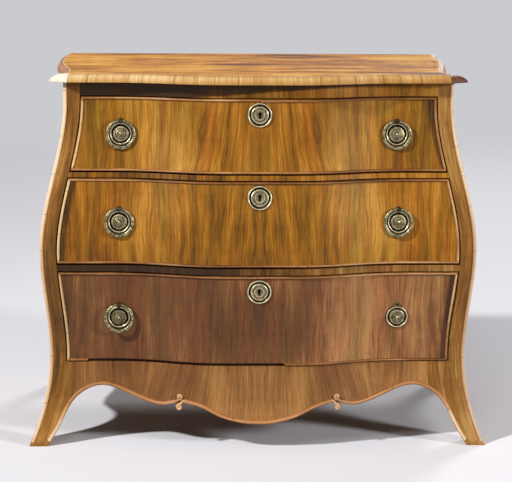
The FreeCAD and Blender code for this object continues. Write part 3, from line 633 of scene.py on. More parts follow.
def wood(name, dark, middle, light, axes=None, contrast=1.0, streaks=90.0, bands=22.0, wander=0.012,
         lines=0.4, figure=0.5, ticks=0.0, cracks=0.0, green=0.0, red=0.0, coat=0.03, rough=0.42):
    """Polished wood. Its streaks run along the second grain coordinate; axes names object axes for CAD nodes.

    streaks and bands set how close the fine and the wide streaks lie, and wander how far they stray. lines,
    figure, green and red are shares from 0 to 1: dark lines, cross figure and tints. ticks and cracks count
    the dark joints in a metre that run along the grain and across it.
    """
    n = Nodes(name)
    if axes:
        parts = n.split(n.node("TexCoord", {}).outputs["Object"])
        across, along, leaf = (parts["XYZ".index(axis)] for axis in axes)
        leaf = n.times(leaf, 8.0)
        tone = 0.5
    else:
        across, along, leaf = n.split(n.attribute("grain")["Vector"])
        tone = n.attribute("tone")["Fac"]

    def streaked(side, scale_across, scale_along, detail=2.0, roughness=0.5):
        place = n.join(n.times(side, scale_across), n.times(along, scale_along), leaf)
        return n.noise(place, 1.0, detail, roughness)

    def seams(colour, side, uneven, count, width, strength):
        seam = n.math("FRACT", n.times(n.plus(side, uneven), count))
        return n.mix(n.spread(seam, 0.0, width, strength, 0.0), colour, deep)

    bent = n.plus(across, n.swing(streaked(across, 7.0, 3.2), 2.0 * wander))
    bent = n.plus(bent, n.swing(streaked(across, 30.0, 16.0, 1.0), 0.35 * wander))
    fine = streaked(bent, streaks, 4.5, 3.0, 0.6)
    cloud = streaked(across, 9.0, 5.0, 3.0)
    layers = ((streaked(bent, streaks * 4.4, 14.0, 3.0, 0.65), 0.40),
              (fine, 0.38),
              (streaked(bent, bands, 1.6, 2.5, 0.55), 0.30),
              (cloud, 0.34),
              (streaked(across, 22.0, 60.0), 0.10 * figure))
    mixed = 0.5
    for layer, share in layers:
        mixed = n.plus(mixed, n.swing(layer, share * contrast * 2.6))
    mixed = n.plus(mixed, n.swing(tone, 0.9))
    deep = darker(dark, 0.45)
    colour = n.ramp(mixed, [(0.0, dark), (0.5, middle), (1.0, light)])
    # below the ramp's dark end the colour goes on towards near black: this carries the painted shadows given
    # by low tones
    colour = n.mix(n.spread(mixed, 0.0, -0.35, 0.0, 0.85), colour, darker(dark, 0.3))
    line = n.spread(streaked(bent, streaks * 1.1, 3.5), 0.58, 0.80)
    colour = n.mix(n.times(line, lines), colour, deep)
    pore = n.spread(streaked(bent, 950.0, 42.0, 2.0, 0.6), 0.60, 0.70)
    colour = n.mix(n.times(pore, 0.5), colour, darker(dark, 0.35))
    greenish = n.spread(streaked(bent, bands * 0.8, 2.0, 1.0), 0.46, 0.66, 0.0, green)
    colour = n.tint(greenish, colour, (0.66, 0.76, 0.60))
    reddish = n.spread(streaked(bent, bands * 1.3, 1.4), 0.50, 0.66, 0.0, red)
    colour = n.tint(reddish, colour, (1.0, 0.80, 0.84))
    if ticks > 0.0:
        uneven = n.times(streaked(across, 9.0, 0.0, 0.0), 0.09)
        colour = seams(colour, across, uneven, ticks, 0.05, 1.0)
    if cracks > 0.0:
        uneven = n.times(n.noise(n.join(0.0, n.times(along, 7.0), leaf), 1.0, 1.0), 0.14)
        colour = seams(colour, along, uneven, cracks, 0.04, 0.55)
    n.bump(n.math("SUBTRACT", n.times(fine, 0.35), pore), 0.25, 0.0003)
    return n.finish({"Base Color": colour, "Roughness": n.spread(cloud, 0.3, 0.7, rough - 0.05, rough + 0.1),
                     "Specular IOR Level": 0.25, "Coat Weight": coat, "Coat Roughness": 0.2})


def brass(name, bright, mid, dark, shine=0.30, level=None, mottled=1.1):
    """Aged brass: bright where it is rubbed, dark in its hollows. level is the tone of CAD nodes."""
    n = Nodes(name)
    position = n.node("TexCoord", {}).outputs["Object"]
    tone = n.attribute("tone")["Fac"] if level is None else level
    dirt_and_shade = n.noise(position, 900.0, 3.0, 0.6)
    level = n.plus(tone, n.swing(n.noise(position, 160.0, 4.0, 0.65), mottled))
    level = n.plus(level, n.swing(dirt_and_shade, 0.8))
    colour = n.ramp(level, [(0.05, dark), (0.45, mid), (0.95, bright)])
    n.bump(dirt_and_shade, 0.3, 0.0002)
    return n.finish({"Base Color": colour, "Metallic": 1.0,
                     "Roughness": n.spread(level, 0.0, 1.0, shine + 0.3, shine)})


straight = {"streaks": 260.0, "bands": 90.0, "wander": 0.001}
crossgrain = {"contrast": 0.8, "streaks": 300.0, "bands": 60.0, "wander": 0.002, "figure": 0.2}
bare_oak = {"contrast": 0.7, "streaks": 180.0, "bands": 40.0, "rough": 0.62, "coat": 0.0}
oak_colours = (srgb(96, 70, 44), srgb(146, 112, 76), srgb(176, 142, 100))

drawer_wood = wood("drawer_veneer", srgb(92, 58, 10), srgb(168, 108, 24), srgb(218, 158, 64),
                   contrast=1.2, bands=27.0, wander=0.02, green=0.9, red=0.8)
lower_wood = wood("lower_veneer", srgb(74, 44, 24), srgb(130, 84, 48), srgb(210, 150, 94),
                  contrast=0.8, wander=0.02, lines=0.15, green=0.5, red=0.7)
apron_wood = wood("apron_veneer", srgb(80, 48, 22), srgb(142, 93, 48), srgb(208, 150, 86),
                  contrast=0.8, wander=0.02, lines=0.1, green=0.4, red=0.4)
case_wood = wood("case_veneer", srgb(82, 50, 18), srgb(152, 101, 40), srgb(216, 164, 96),
                 contrast=1.1, lines=0.25, green=0.5, red=0.3)
top_wood = wood("top_veneer", srgb(118, 62, 10), srgb(194, 124, 32), srgb(232, 174, 78), axes="YXZ",
                contrast=2.4, streaks=40.0, bands=17.0, rough=0.6, coat=0.0)
cross_wood = wood("moulding_crossband", srgb(150, 98, 40), srgb(206, 156, 88), srgb(252, 226, 176),
                  ticks=22.0, **crossgrain)
# its near-white palest colour carries the painted highlight on the left ear
ear_wood = wood("moulding_ear", srgb(112, 62, 34), srgb(190, 132, 80), srgb(250, 236, 210), **crossgrain)
bead_wood = wood("light_bead", srgb(130, 86, 50), srgb(212, 160, 112), srgb(250, 220, 182),
                 contrast=0.7, lines=0.2, figure=0.2, cracks=12.0, **straight)
apron_bead_wood = wood("apron_bead", srgb(130, 78, 36), srgb(196, 134, 80), srgb(246, 214, 172),
                       contrast=0.8, lines=0.3, figure=0.4, cracks=7.0, **straight)
cockbead_wood = wood("cockbead_wood", srgb(74, 42, 18), srgb(168, 110, 58), srgb(240, 206, 150),
                     lines=0.3, figure=0.6, cracks=16.0, **straight)
oak = wood("carcass_oak", *oak_colours, axes="ZXY", **bare_oak)
oak_deep = wood("carcass_oak_sides", *oak_colours, axes="ZYX", **bare_oak)
oak_flat = wood("carcass_oak_flat", *oak_colours, axes="YXZ", **bare_oak)
# the rebate's bare wood, painted near black as the shade in its recess
rebate_shade_wood = wood("rebate_painted_shade", srgb(30, 18, 10), srgb(54, 34, 20), srgb(84, 54, 32), rough=0.7, coat=0.0)
metal = brass("stamped_brass", srgb(212, 196, 160), srgb(100, 90, 60), srgb(12, 10, 6))
ring_metal = brass("ring_brass", srgb(204, 192, 154), srgb(90, 86, 56), srgb(14, 15, 10), mottled=1.6)
plain_metal = brass("post_brass", srgb(180, 168, 130), srgb(74, 66, 44), srgb(10, 8, 5), level=0.35)
dark_iron = brass("lock_iron", srgb(120, 116, 110), srgb(80, 76, 72), srgb(30, 28, 26), shine=0.45,
                  level=0.5)
# near black: painted shade in the keyhole and in the empty lug's hole
hole_shade = Nodes("keyhole_painted_shade").finish({"Base Color": (0.006, 0.005, 0.004, 1.0), "Roughness": 0.9,
                                          "Specular IOR Level": 0.0})

# ---------------------------------------------------------------- posts, sides and rear legs


def post_rows(joint_x):
    """Rows of the right post: its inner front edge, its corner's height and its rear side edge."""
    shin = [p for p in side_line if p[0] > shin_inner_limit]
    heel = [p for p in side_arch_line if p[0] < joint_y + 2.0 * arch_overlap]
    levels = [0.0, bead_foot_height / 2.0, bead_foot_height - hair, bead_foot_height + hair]
    levels += steps(1.5 * bead_foot_height, knee_height, 16)
    rows = [((read_line(shin, z, 1), z), z, (read_line(heel, z, 1), z)) for z in levels]
    inner_knee, _, outer_knee = rows[-1]
    inner = [p for p in side_line if joint_x <= p[0] < inner_knee[0] and p[1] > knee_height]
    outer = [p for p in side_arch_line if outer_knee[0] < p[0] < joint_y and p[1] > knee_height]
    inner_low = read_line(inner[::-1], joint_x)
    outer_low = read_line(heel, joint_y)
    inner = smooth_line([inner_knee] + inner[::3] + [(joint_x, inner_low)], 13)
    outer = smooth_line([outer_knee] + outer[::3] + [(joint_y, outer_low)], 13)
    rows += list(zip(inner, steps(knee_height, knee_top, 13), outer))[1:]
    for t in steps(0.2, 1.0, 5):
        rows.append(((joint_x, lerp(inner_low, apron_top, t)), lerp(knee_top, apron_joint_top, t),
                     (joint_y, lerp(outer_low, apron_joint_top, t))))
    stile_x = half_width(apron_top) - stile_width + stile_easing
    for t in steps(0.2, 1.0, 5):
        z = lerp(apron_joint_top, stile_start, t)
        rows.append(((lerp(joint_x, stile_x, t), apron_top), z, (joint_y, z)))
    for t in steps(0.0, 1.0, 61)[1:]:
        z = lerp(stile_start, case_height, t)
        inner_z = lerp(apron_top, case_height, t)
        rows.append(((half_width(inner_z) - stile_width + stile_easing, inner_z), z, (joint_y, z)))
    return rows


def post_tone(sign, z):
    """Tone down a post: darker about the belly, paler at the knee and foot, darker just above the floor."""
    foot = 1.0 - rise(z, 0.02, 0.12)
    belly = hump(z, 0.36, 0.17)
    near_floor = max(0.0, 1.0 - z / 0.012)
    return 0.47 + 0.04 * sign + 0.34 * foot - (0.22 - 0.12 * sign) * belly - 0.35 * near_floor


def make_post(sign):
    cols = 10
    leaf = sign * 2.0
    front, back = [], []
    for (ax, az), bz, (cy, cz) in post_rows(apron_joints[sign]):
        notch = 0.0 if bz < bead_foot_height else corner_bead_size
        eased = max(notch, post_corner_easing)
        corner_x, front_corner = half_width(bz), corner_y(bz)
        inner_x, inner_y = corner_x - stile_width, front_corner + post_depth
        outer, inner = [], []
        for t in steps(0.0, 1.0, cols):
            x, z = lerp(ax, corner_x - eased, t), lerp(az, bz, t)
            outer.append(((sign * x, front_y(x, z), z), (sign * (x - half_width(z)) + 0.5, z, leaf)))
            back_x = lerp(ax, inner_x - post_inner_step, t)
            inner.append((sign * back_x, front_y(back_x, z) + post_depth, z))
        outer.append(((sign * (corner_x - notch), front_corner + notch, bz), (0.5, bz, leaf)))
        inner.append((sign * inner_x, inner_y, bz))
        for t in steps(0.0, 1.0, cols):
            y, z = lerp(front_corner + eased, cy, t), lerp(bz, cz, t)
            outer.append(((sign * side_x(y, z), y, z), (0.5 + y - front_corner, z, leaf)))
            back_y = max(lerp(inner_y + post_inner_easing, cy, t), inner_y + post_inner_easing * t)
            inner.append((sign * (side_x(back_y, z) - stile_width), back_y, z))
        front.append([(place, grain, lerp(post_tone(sign, place[2]), plain_tone, rise(i, cols, 8.0)))
                      for i, (place, grain) in enumerate(outer)])
        back.append(inner)
    make_piece("post_and_foot_" + sides[sign], Shape().slab(front, back), [case_wood],
               ["front_post_" + sides[sign]], bevel=0.0007)


def make_side(sign):
    lower_edge = [p for p in side_arch_line
                  if joint_y - arch_overlap < p[0] < rear_post_y + arch_overlap and p[1] > side_edge_low]
    leaf = sign * 3.0
    front, back = [], []
    for y in steps(joint_y, rear_post_y, 60):
        zs = steps(read_line(lower_edge, y), case_height, 60)
        front.append([((sign * side_x(y, z), y, z), (y + leaf, z, leaf), plain_tone) for z in zs])
        back.append([(sign * (side_x(y, z) - side_thickness), y, z) for z in zs])
    make_piece("side_" + sides[sign], Shape().slab(front, back), [case_wood],
               ["side_panel_" + sides[sign]], bevel=0.0005)


def make_rear_leg(sign):
    """A rear post and foot. Its toe flares less than the front foot's, which hides it in the photo."""
    leaf = 15.0 + sign
    rings = []
    for z in steps(0.0, ankle_height, 40) + steps(ankle_height, case_height, 60)[1:]:
        draw_in = rear_toe_easing * max(0.0, 1.0 - z / knee_height) ** 1.5
        outer = [(side_x(y, z) - draw_in, y) for y in steps(rear_post_y, case_back_y, 6)]
        inner = [(x - rear_post_width, y) for x, y in reversed(outer)]
        rings.append([((sign * x, y, z), (y + 0.3 * x, z, leaf), plain_tone) for x, y in outer + inner])
    make_piece("rear_leg_" + sides[sign], Shape().loft(rings), [case_wood],
               ["rear_post_" + sides[sign]], bevel=0.0008)


for make in (make_post, make_side, make_rear_leg):
    for sign in sides:
        make(sign)

# ---------------------------------------------------------------- rails and apron


def make_front_slab(name, node, material, ends, z_low, z_high, depth, grain_at, tone_at,
                    body="carcase", rows=120, cols=14, straight_back=None, bevel=0.0005, room=None):
    """A piece of the front. ends gives its left and right end at a height, z_low its lower edge at an x.

    Its back follows the front at a depth, or is straight from bottom to top where straight_back is given.
    """
    front, back = [], []
    for u in steps(0.0, 1.0, rows):
        face, rear = [], []
        for v in steps(0.0, 1.0, cols):
            x = lerp(*ends(lerp(z_low(0.0), z_high, v)), u)
            z = lerp(z_low(x), z_high, v)
            face.append(((x, front_y(x, z), z), grain_at(x, z), tone_at(x, z)))
            rear.append((x, straight_back - serpentine(x) if straight_back else front_y(x, z) + depth, z))
        front.append(face)
        back.append(rear)
    make_piece(name, Shape().slab(front, back), [material], [node], body, bevel, room=room)


def between_stiles(inset):
    """The left and right end, at a height, of a piece that lies an inset inside the case's outline."""
    return lambda z: (inset - half_width(z), half_width(z) - inset)


def book_match(pull, pull_place, pull_width, level, leaf):
    """Grain that is matched about the middle, and whose lines lean inwards above a level beside it."""
    def grain(x, z):
        across = abs(x)
        return (across + pull * hump(across, pull_place, pull_width) * (z - level), z, leaf)
    return grain


def top_rail_shadow(x, z):
    """Painted shadow cast by the top: deep, narrowing and weaker towards the right."""
    shadow = case_height - lerp(0.044, 0.010, rise(x, -0.38, 0.62))
    return plain_tone - 1.05 * ease(1.05 - x / 0.45) * rise(z, shadow, 0.005)


def rail_tone(dirt_and_shade):
    """Darker towards a rail's left end."""
    return lambda x, z: 0.48 - dirt_and_shade * ease((0.20 - x) / 0.4)


def apron_tone(x, z):
    """The apron's middle and right are more golden than its left."""
    return 0.38 + 0.17 * (1.0 - rise(abs(x), 0.08, 0.12)) + 0.26 * rise(x, 0.1, 0.2)


for name, node, depth, material, tone_at, drawer in (
        ("rail_under_top", "top_rail", top_rail_depth, drawer_wood, top_rail_shadow, "top"),
        ("rail_upper", "upper_drawer_rail", rail_depth, drawer_wood, rail_tone(0.35), "middle"),
        ("rail_lower", "lower_drawer_rail", rail_depth, case_wood, rail_tone(0.95), "bottom")):
    low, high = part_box(node)
    make_front_slab(name, node, material, between_stiles(stile_width - stile_easing),
                    lambda x: low.z + rail_easing / 2.0, high.z - rail_easing, depth,
                    lambda x, z: (x, z, depth * 50.0), tone_at, cols=10, room=bolt_room(drawer))

make_front_slab("apron", "front_apron", apron_wood, lambda z: (apron_low.x, apron_high.x),
                apron_edge, apron_top, apron_thickness, book_match(0.28, 0.17, 0.08, 0.06, 11.0), apron_tone,
                rows=260, cols=16)

# ---------------------------------------------------------------- beads


def make_corner_bead(sign):
    size = corner_bead_size
    rings = []
    for z in steps(bead_foot_height, case_height, 120):
        x, y = half_width(z), corner_y(z)
        ring = [((sign * (x - size), y + size, z), (0.0, z, 4.0), 0.1)]
        for angle in steps(0.0, math.pi / 2.0, 9):
            bulge = corner_bead_bulge * math.sin(2.0 * angle)
            out_x = x - size + (size + corner_bead_side_proud) * math.sin(angle) + bulge
            out_y = y + size - (size + corner_bead_proud) * math.cos(angle) - bulge
            # painted highlight across the bead's round, and painted light on its upper part
            tone = 0.08 + 0.3 * rise(z, 0.40, 0.25) + 0.85 * math.sin(1.6 * angle) ** 0.7
            ring.append(((sign * out_x, out_y, z), (angle * size, z, sign * 4.0), tone))
        rings.append(ring)
    make_piece("corner_stringing_" + sides[sign], Shape().loft(rings), [bead_wood],
               ["corner_bead_" + sides[sign]])


def bead_section(width, proud):
    """A half-round section: pairs of distance in from the edge and height above the surface."""
    half = width / 2.0
    return ([(-hair, -bead_sunk)]
            + [(half - (half + hair) * math.cos(angle), lerp(bead_edge_lift, proud, math.sin(angle)))
               for angle in steps(0.0, math.pi, 9)]
            + [(width, -bead_sunk)])


def surface_bead(shape, line, side, leaf, tone_at):
    """A bead on the front along a line; side is +1 where its body lies right of the way the line runs."""
    section = bead_section(apron_bead_width, apron_bead_proud)
    lines = [offset_line(line, side * distance) for distance, _ in section]
    rings = []
    for i, length in enumerate(run_lengths(line)):
        ring = []
        for (distance, height), offset in zip(section, lines):
            x, z = offset[i]
            # painted highlight along the bead's crown, painted shade at its edges
            tone = tone_at(*line[i]) - 0.5 * abs(2.0 * distance / apron_bead_width - 1.0) ** 1.5
            ring.append(((x, front_y(x, z) - height, z), (distance, length, leaf), tone))
        rings.append(ring)
    shape.loft(rings)


def scroll(shape, centre, neck, start_angle, sign, leaf):
    """A bead's end: a bar that leaves the bead along the neck's points and winds into a small ball."""
    path = list(neck)
    for t in steps(0.0, 1.0, 26):
        angle = start_angle - scroll_sweep * t
        reach = lerp(*scroll_reach, t)
        path.append((centre[0] + reach * math.cos(angle), centre[1] + reach * math.sin(angle)))
    path = smooth_line(path, 70)
    rings = []
    for t, (mid_x, mid_z), (right_x, right_z) in zip(steps(0.0, 1.0, len(path)), path, crossways(path)):
        bar = lerp(*scroll_bar, t)
        ring = []
        for spin in turns_of(10):
            x = mid_x + bar * math.cos(spin) * right_x
            z = mid_z + bar * math.cos(spin) * right_z
            y = front_y(x, z) - bar * math.sin(spin) - lerp(*scroll_lift, t)
            # painted highlight on the bar's crown, painted shade at its sides
            ring.append(((sign * x, y, z), (spin * bar, 0.06 * t, leaf), 0.9 - 0.75 * math.cos(spin) ** 2))
        rings.append(ring)
    shape.loft(rings)


def side_bead_tone(x, z):
    """The beads are paler down the foot."""
    return 0.55 + 0.55 * (1.0 - rise(z, 0.045, 0.075)) * rise(abs(x), 0.36, 0.04)


def make_apron_beads():
    shape = Shape()
    for sign in sides:
        line = [(sign * x, z) for x, z in side_line if z >= bead_foot_height]
        surface_bead(shape, line, sign, 6.0 + sign, side_bead_tone)
    surface_bead(shape, middle_line, 1, 9.0, lambda x, z: 0.55)
    upper = (cusp_half_width, cusp_height + scroll_rise)
    lower = (cusp_half_width, upper[1] - scroll_spacing)
    side_end, middle_end = ((x, z + apron_bead_width / 2.0) for x, z in (side_line[-1], middle_line[0]))
    upper_neck = [(side_end[0] + scroll_neck, side_end[1]), side_end]
    lower_neck = [(middle_end[0] - scroll_neck, middle_end[1]), middle_end]
    for sign in sides:
        scroll(shape, upper, upper_neck, math.radians(-80.0), sign, 6.5)
        scroll(shape, lower, lower_neck, math.radians(100.0), sign, 6.8)
    make_piece("apron_stringing", shape, [apron_bead_wood], ["apron_beads"])


for sign in sides:
    make_corner_bead(sign)
make_apron_beads()

# ---------------------------------------------------------------- top

ear_tones = {-1: 1.1, 1: -0.3}            # pale as a painted highlight on the left, darker on the right
side_strip_tones = {-1: 0.1, 1: 0.2}
joint_line_tone = 0.95


def top_outline(inset, sign):
    """The top's outline as if on its right: the front corner, then the side from the ear's tip to the back.

    The side starts with an elliptic hollow from the ear's tip to the waist, which begins where the ear's
    slanting edge, moved inwards by the inset, meets it.
    """
    slope = math.atan2(top_front_overhang, ear_tip_half_width - top_front_half_width)
    corner_x = top_front_half_width - inset * math.tan(slope / 2.0)
    front_edge_y = neck_y - top_front_overhang + inset
    waist_x = top_waist_half_width[sign]
    waist_y = neck_y + top_waist_setback[sign]
    half_x = ear_tip_half_width - waist_x + inset
    half_y = top_waist_setback[sign] + inset
    start_x = (corner_x - ear_tip_half_width) / half_x
    start_y = (front_edge_y - waist_y) / half_y
    run_x = math.cos(slope) / half_x
    run_y = math.sin(slope) / half_y
    along = start_x * run_x + start_y * run_y
    square = run_x ** 2 + run_y ** 2
    reach = along ** 2 - square * (start_x ** 2 + start_y ** 2 - 1.0)
    back_off = (along + math.sqrt(max(reach, 0.0))) / square
    angle = math.atan2(-(start_x - run_x * back_off), -(start_y - run_y * back_off))
    side = [(ear_tip_half_width - half_x * math.sin(turn), waist_y - half_y * math.cos(turn))
            for turn in steps(angle, math.pi / 2.0, 5)]
    hip_x = top_hip_half_width[sign]
    hip_y = neck_y + top_hip_setback[sign]
    back_y = case_back_y + top_back_overhang
    side += [(lerp(waist_x, hip_x, hip_fullness) - inset, (waist_y + hip_y) / 2.0),
             (hip_x - inset, hip_y),
             (lerp(hip_x, top_back_half_width, corner_fullness) - inset, lerp(hip_y, back_y, corner_start)),
             (top_back_half_width - inset, back_y)]
    return (corner_x, front_edge_y), side


def moulding_section():
    """Section of the top's moulding: inset from the outline and height above the case."""
    thickness = top_height - case_height
    round_start = thickness - moulding_round
    section = [(0.0, 0.0), (0.0, round_start * 0.6)]
    for angle in steps(0.0, math.pi / 2.0, 13):
        right, up = polar(moulding_round, angle)
        section.append((moulding_round - right, round_start + up))
    inner = moulding_width - hair
    return section + [(inner - 2.0 * hair, thickness), (inner, thickness - moulding_inner_easing),
                      (inner, 0.0)]


def moulding_highlight_and_shade(inset):
    """Painted highlight on the moulding's rounded nose, and painted shade on its upright lowest edge."""
    return 0.27 * hump(inset, 0.006, 0.005) - (0.15 if inset == 0.0 else 0.0)


def moulding_strip(shape, path, section, shade, slot=0, light_falloff=0.0):
    """Lofts a section along a path, which gives the outline's points at an inset. It darkens along its way, a
    painted falloff of light.
    """
    lines = [path(inset) for inset, _ in section]
    rings = []
    for i, length in enumerate(run_lengths(lines[0])):
        painted_falloff = light_falloff * i / len(lines[0])
        rings.append([((*line[i], case_height + height), (length, inset + height, 12.0),
                       (joint_line_tone if slot == 1 else shade + moulding_highlight_and_shade(inset)) - painted_falloff)
                      for line, (inset, height) in zip(lines, section)])
    shape.loft(rings, slot=slot)


def front_path(inset):
    (corner_x, y), _ = top_outline(inset, 1)
    return [(x, y - serpentine(x)) for x in steps(-corner_x, corner_x, 150)]


def make_front_moulding():
    shape = Shape()
    moulding_strip(shape, front_path, moulding_section(), 0.48, light_falloff=0.32)
    make_piece("moulding_front", shape, [cross_wood], ["top_moulding_front"],
               sharpness=moulding_sharpness)


def make_side_moulding(sign):
    """A canted ear and a side strip, whose inner part is veneered like the top, with a pale joint line."""

    def ear_path(inset):
        (start_x, start_y), side = top_outline(inset, sign)
        tip_x, tip_y = side[0]
        return [(sign * lerp(start_x, tip_x, t), lerp(start_y, tip_y, t)) for t in steps(0.0, 1.0, 10)]

    def side_path(inset):
        return [(sign * x, y) for x, y in smooth_line(top_outline(inset, sign)[1], 90)]

    section = moulding_section()
    line_start, line_end = side_joint_inset, side_joint_inset + side_joint_line
    outer = [p for p in section if p[0] <= line_start]
    inner = [p for p in section if p[0] > line_end]
    joint_z = outer[-1][1]
    joint = [(line_start, 0.0), (line_start, joint_z + hair),
             (line_end, joint_z + 2.0 * hair), (line_end, 0.0)]
    shade = side_strip_tones[sign]
    shape = Shape()
    moulding_strip(shape, ear_path, section, ear_tones[sign])
    moulding_strip(shape, side_path, outer + [(line_start, joint_z), (line_start, 0.0)], shade)
    moulding_strip(shape, side_path, joint, shade, 1)
    moulding_strip(shape, side_path, [(line_end, 0.0), (line_end, joint_z)] + inner, shade, 2)
    make_piece("moulding_" + sides[sign], shape, [ear_wood, bead_wood, top_wood],
               ["top_moulding_" + sides[sign]], sharpness=moulding_sharpness)


make_front_moulding()
for sign in sides:
    make_side_moulding(sign)

# ---------------------------------------------------------------- drawer fronts

# gain of the painted sheen on a front's flanks and on its right flank alone, and rise from left to right,
# partly the veneer's own tone and partly painted light
front_sheen_and_tone = {"top": (0.22, -0.02, -0.03), "middle": (0.14, 0.10, 0.08), "bottom": (0.10, 0.34, 0.12)}
# painted shadow beside a bead: on which side, and its width at the bottom and at the top
front_bead_shadow = {"top": (1, 0.004, 0.012), "middle": (-1, 0.012, 0.011), "bottom": (1, 0.009, 0.010)}
front_leaves = {"top": 20.0, "middle": 23.0, "bottom": 27.0}
cockbead_tones = {"left": 1.15, "right": 0.8, "level": 0.55}


def perimeter(drawer, inset):
    """Outline of a drawer front in (x, z), moved inwards: along the bottom, up, along the top and down."""
    low, high = drawer_box(drawer)
    z0, z1 = low.z + inset, high.z - inset
    ends = between_stiles(stile_width + drawer_gap + inset)
    return ([(x, z0) for x in steps(*ends(z0), 140)[:-1]]
            + [(ends(z)[1], z) for z in steps(z0, z1, 40)[:-1]]
            + [(x, z1) for x in steps(*ends(z1)[::-1], 140)[:-1]]
            + [(ends(z)[0], z) for z in steps(z1, z0, 40)[:-1]])


def make_cockbead(drawer):
    """Four mitred strips. The bottom drawer's lower one is partly lost, the top drawer's upper one split."""
    low, high = drawer_box(drawer)
    section = bead_section(cockbead_width, cockbead_proud)
    lines = [perimeter(drawer, distance) for distance, _ in section]
    outer = lines[0]
    order = list(range(len(outer)))
    first = 0
    if drawer == "bottom":
        order = [i for i, (x, z) in enumerate(outer)
                 if z > low.z + strip_margin or not lost_bead_left < x < lost_bead_right]
        first = next(k for k in range(len(order)) if order[k] - order[k - 1] > 1)
    if drawer == "top":
        first = next(i for i in order if outer[i][1] > high.z - strip_margin and outer[i][0] < -0.0005)
    order = order[first:] + order[:first]
    rings = []
    for i, length in zip(order, run_lengths([outer[i] for i in order])):
        outer_x, outer_z = outer[i]
        split = drawer == "top" and outer_z > high.z - strip_margin and outer_x > 0.0
        slip = split_slip * (1.0 - ease(outer_x / split_length)) if split else 0.0
        upright = low.z + mitre_margin < outer_z < high.z - mitre_margin
        shade = cockbead_tones["level" if not upright else "left" if outer_x < 0.0 else "right"]
        ring = []
        for (distance, height), line in zip(section, lines):
            x, z = line[i][0], line[i][1] - slip
            # painted highlight along the bead's crown, painted shade at its edges
            tone = shade - 0.35 * abs(2.0 * distance / cockbead_width - 1.0)
            ring.append(((x, front_y(x, z) - height, z), (distance, length, 13.0 + low.z), tone))
        rings.append(ring)
    make_piece(drawer + "_cockbead", Shape().loft(rings, closed=drawer == "middle"), [cockbead_wood],
               [drawer + "_drawer_cockbead"], drawer + "_drawer")


def front_tone(drawer):
    """Broad tone over a drawer front: painted sheen on its flanks, a slope to the right, painted shadow at
    one bead.
    """
    flank_sheen, right_sheen, lean = front_sheen_and_tone[drawer]
    shadow_side, shadow_low, shadow_high = front_bead_shadow[drawer]
    low, high = drawer_box(drawer)

    def tone(x, z):
        from_bead = half_width(z) - stile_width - drawer_gap - cockbead_width - shadow_side * x
        # painted shadow along the bead at one end of the front
        dirt_and_shade = 1.0 - rise(from_bead, lerp(shadow_low, shadow_high, (z - low.z) / (high.z - low.z)), 0.003)
        flank_light = flank_sheen * hump(abs(x), 0.2, 0.09) + right_sheen * hump(x, 0.22, 0.10)
        return 0.38 + flank_light + lean * x / 0.4 - 0.5 * dirt_and_shade
    return tone


def make_rebate():
    """The empty rebate of the bottom drawer, where its bead is lost, coloured near black as painted shade."""
    low, _ = drawer_box("bottom")
    face, rear = [], []
    for x in steps(lost_bead_left - rebate_overlap, lost_bead_right + rebate_overlap, 120):
        zs = steps(low.z, low.z + cockbead_width + rebate_overlap, 3)
        face.append([((x, front_y(x, z) + rebate_depth, z), None, plain_tone) for z in zs])
        rear.append([(x, front_y(x, z) + 2.0 * rebate_depth, z) for z in zs])
    make_piece("bottom_front_rebate", Shape().slab(face, rear), [rebate_shade_wood], [],
               "bottom_drawer")


def make_front(drawer, material):
    low, high = drawer_box(drawer)

    def lower_edge(x):
        lost = drawer == "bottom" and lost_bead_left < x < lost_bead_right
        return low.z + cockbead_width if lost else low.z

    make_front_slab(drawer + "_front", drawer + "_drawer_front", material,
                    between_stiles(stile_width + drawer_gap), lower_edge, high.z, 0.0,
                    book_match(0.07, 0.06, 0.07, 0.35, front_leaves[drawer]), front_tone(drawer),
                    drawer + "_drawer", rows=240, cols=40, straight_back=high.y, bevel=0.0008,
                    room=bolt_room(drawer))


make_front("top", drawer_wood)
make_front("middle", drawer_wood)
make_rebate()
make_front("bottom", lower_wood)
for drawer in drawers:
    make_cockbead(drawer)

# ---------------------------------------------------------------- brasses

# radius, height and tone of a handle's stamped plate, from the middle outwards
plate_profile = [(0.0012, 0.0079, 1.0), (0.0022, 0.0073, 0.8), (0.0028, 0.0064, 0.2), (0.0036, 0.0062, 0.2),
                 (0.0046, 0.0066, 0.7), (0.0054, 0.0064, 0.6), (0.0062, 0.0057, 0.15), (0.0074, 0.0057, 0.4),
                 (0.0086, 0.0057, 0.7), (0.0096, 0.0052, 0.4), (0.0104, 0.0046, 0.15), (0.0120, 0.0045, 0.5),
                 (0.0138, 0.0041, 0.6), (0.0154, 0.0035, 0.6), (0.0166, 0.0029, 0.5), (0.0174, 0.0021, 0.3),
                 (0.0180, 0.0012, 0.0), (0.0198, 0.0010, 0.0), (0.0206, 0.0016, 0.3), (0.0213, 0.0026, 0.8),
                 (0.0222, 0.0030, 1.0), (0.0232, 0.0029, 0.8), (0.0240, 0.0022, 0.4), (0.0246, 0.0010, 0.1),
                 (plate_radius, 0.0005, 0.05), (plate_radius, 0.0002, 0.05)]
plate_top = 0.0080

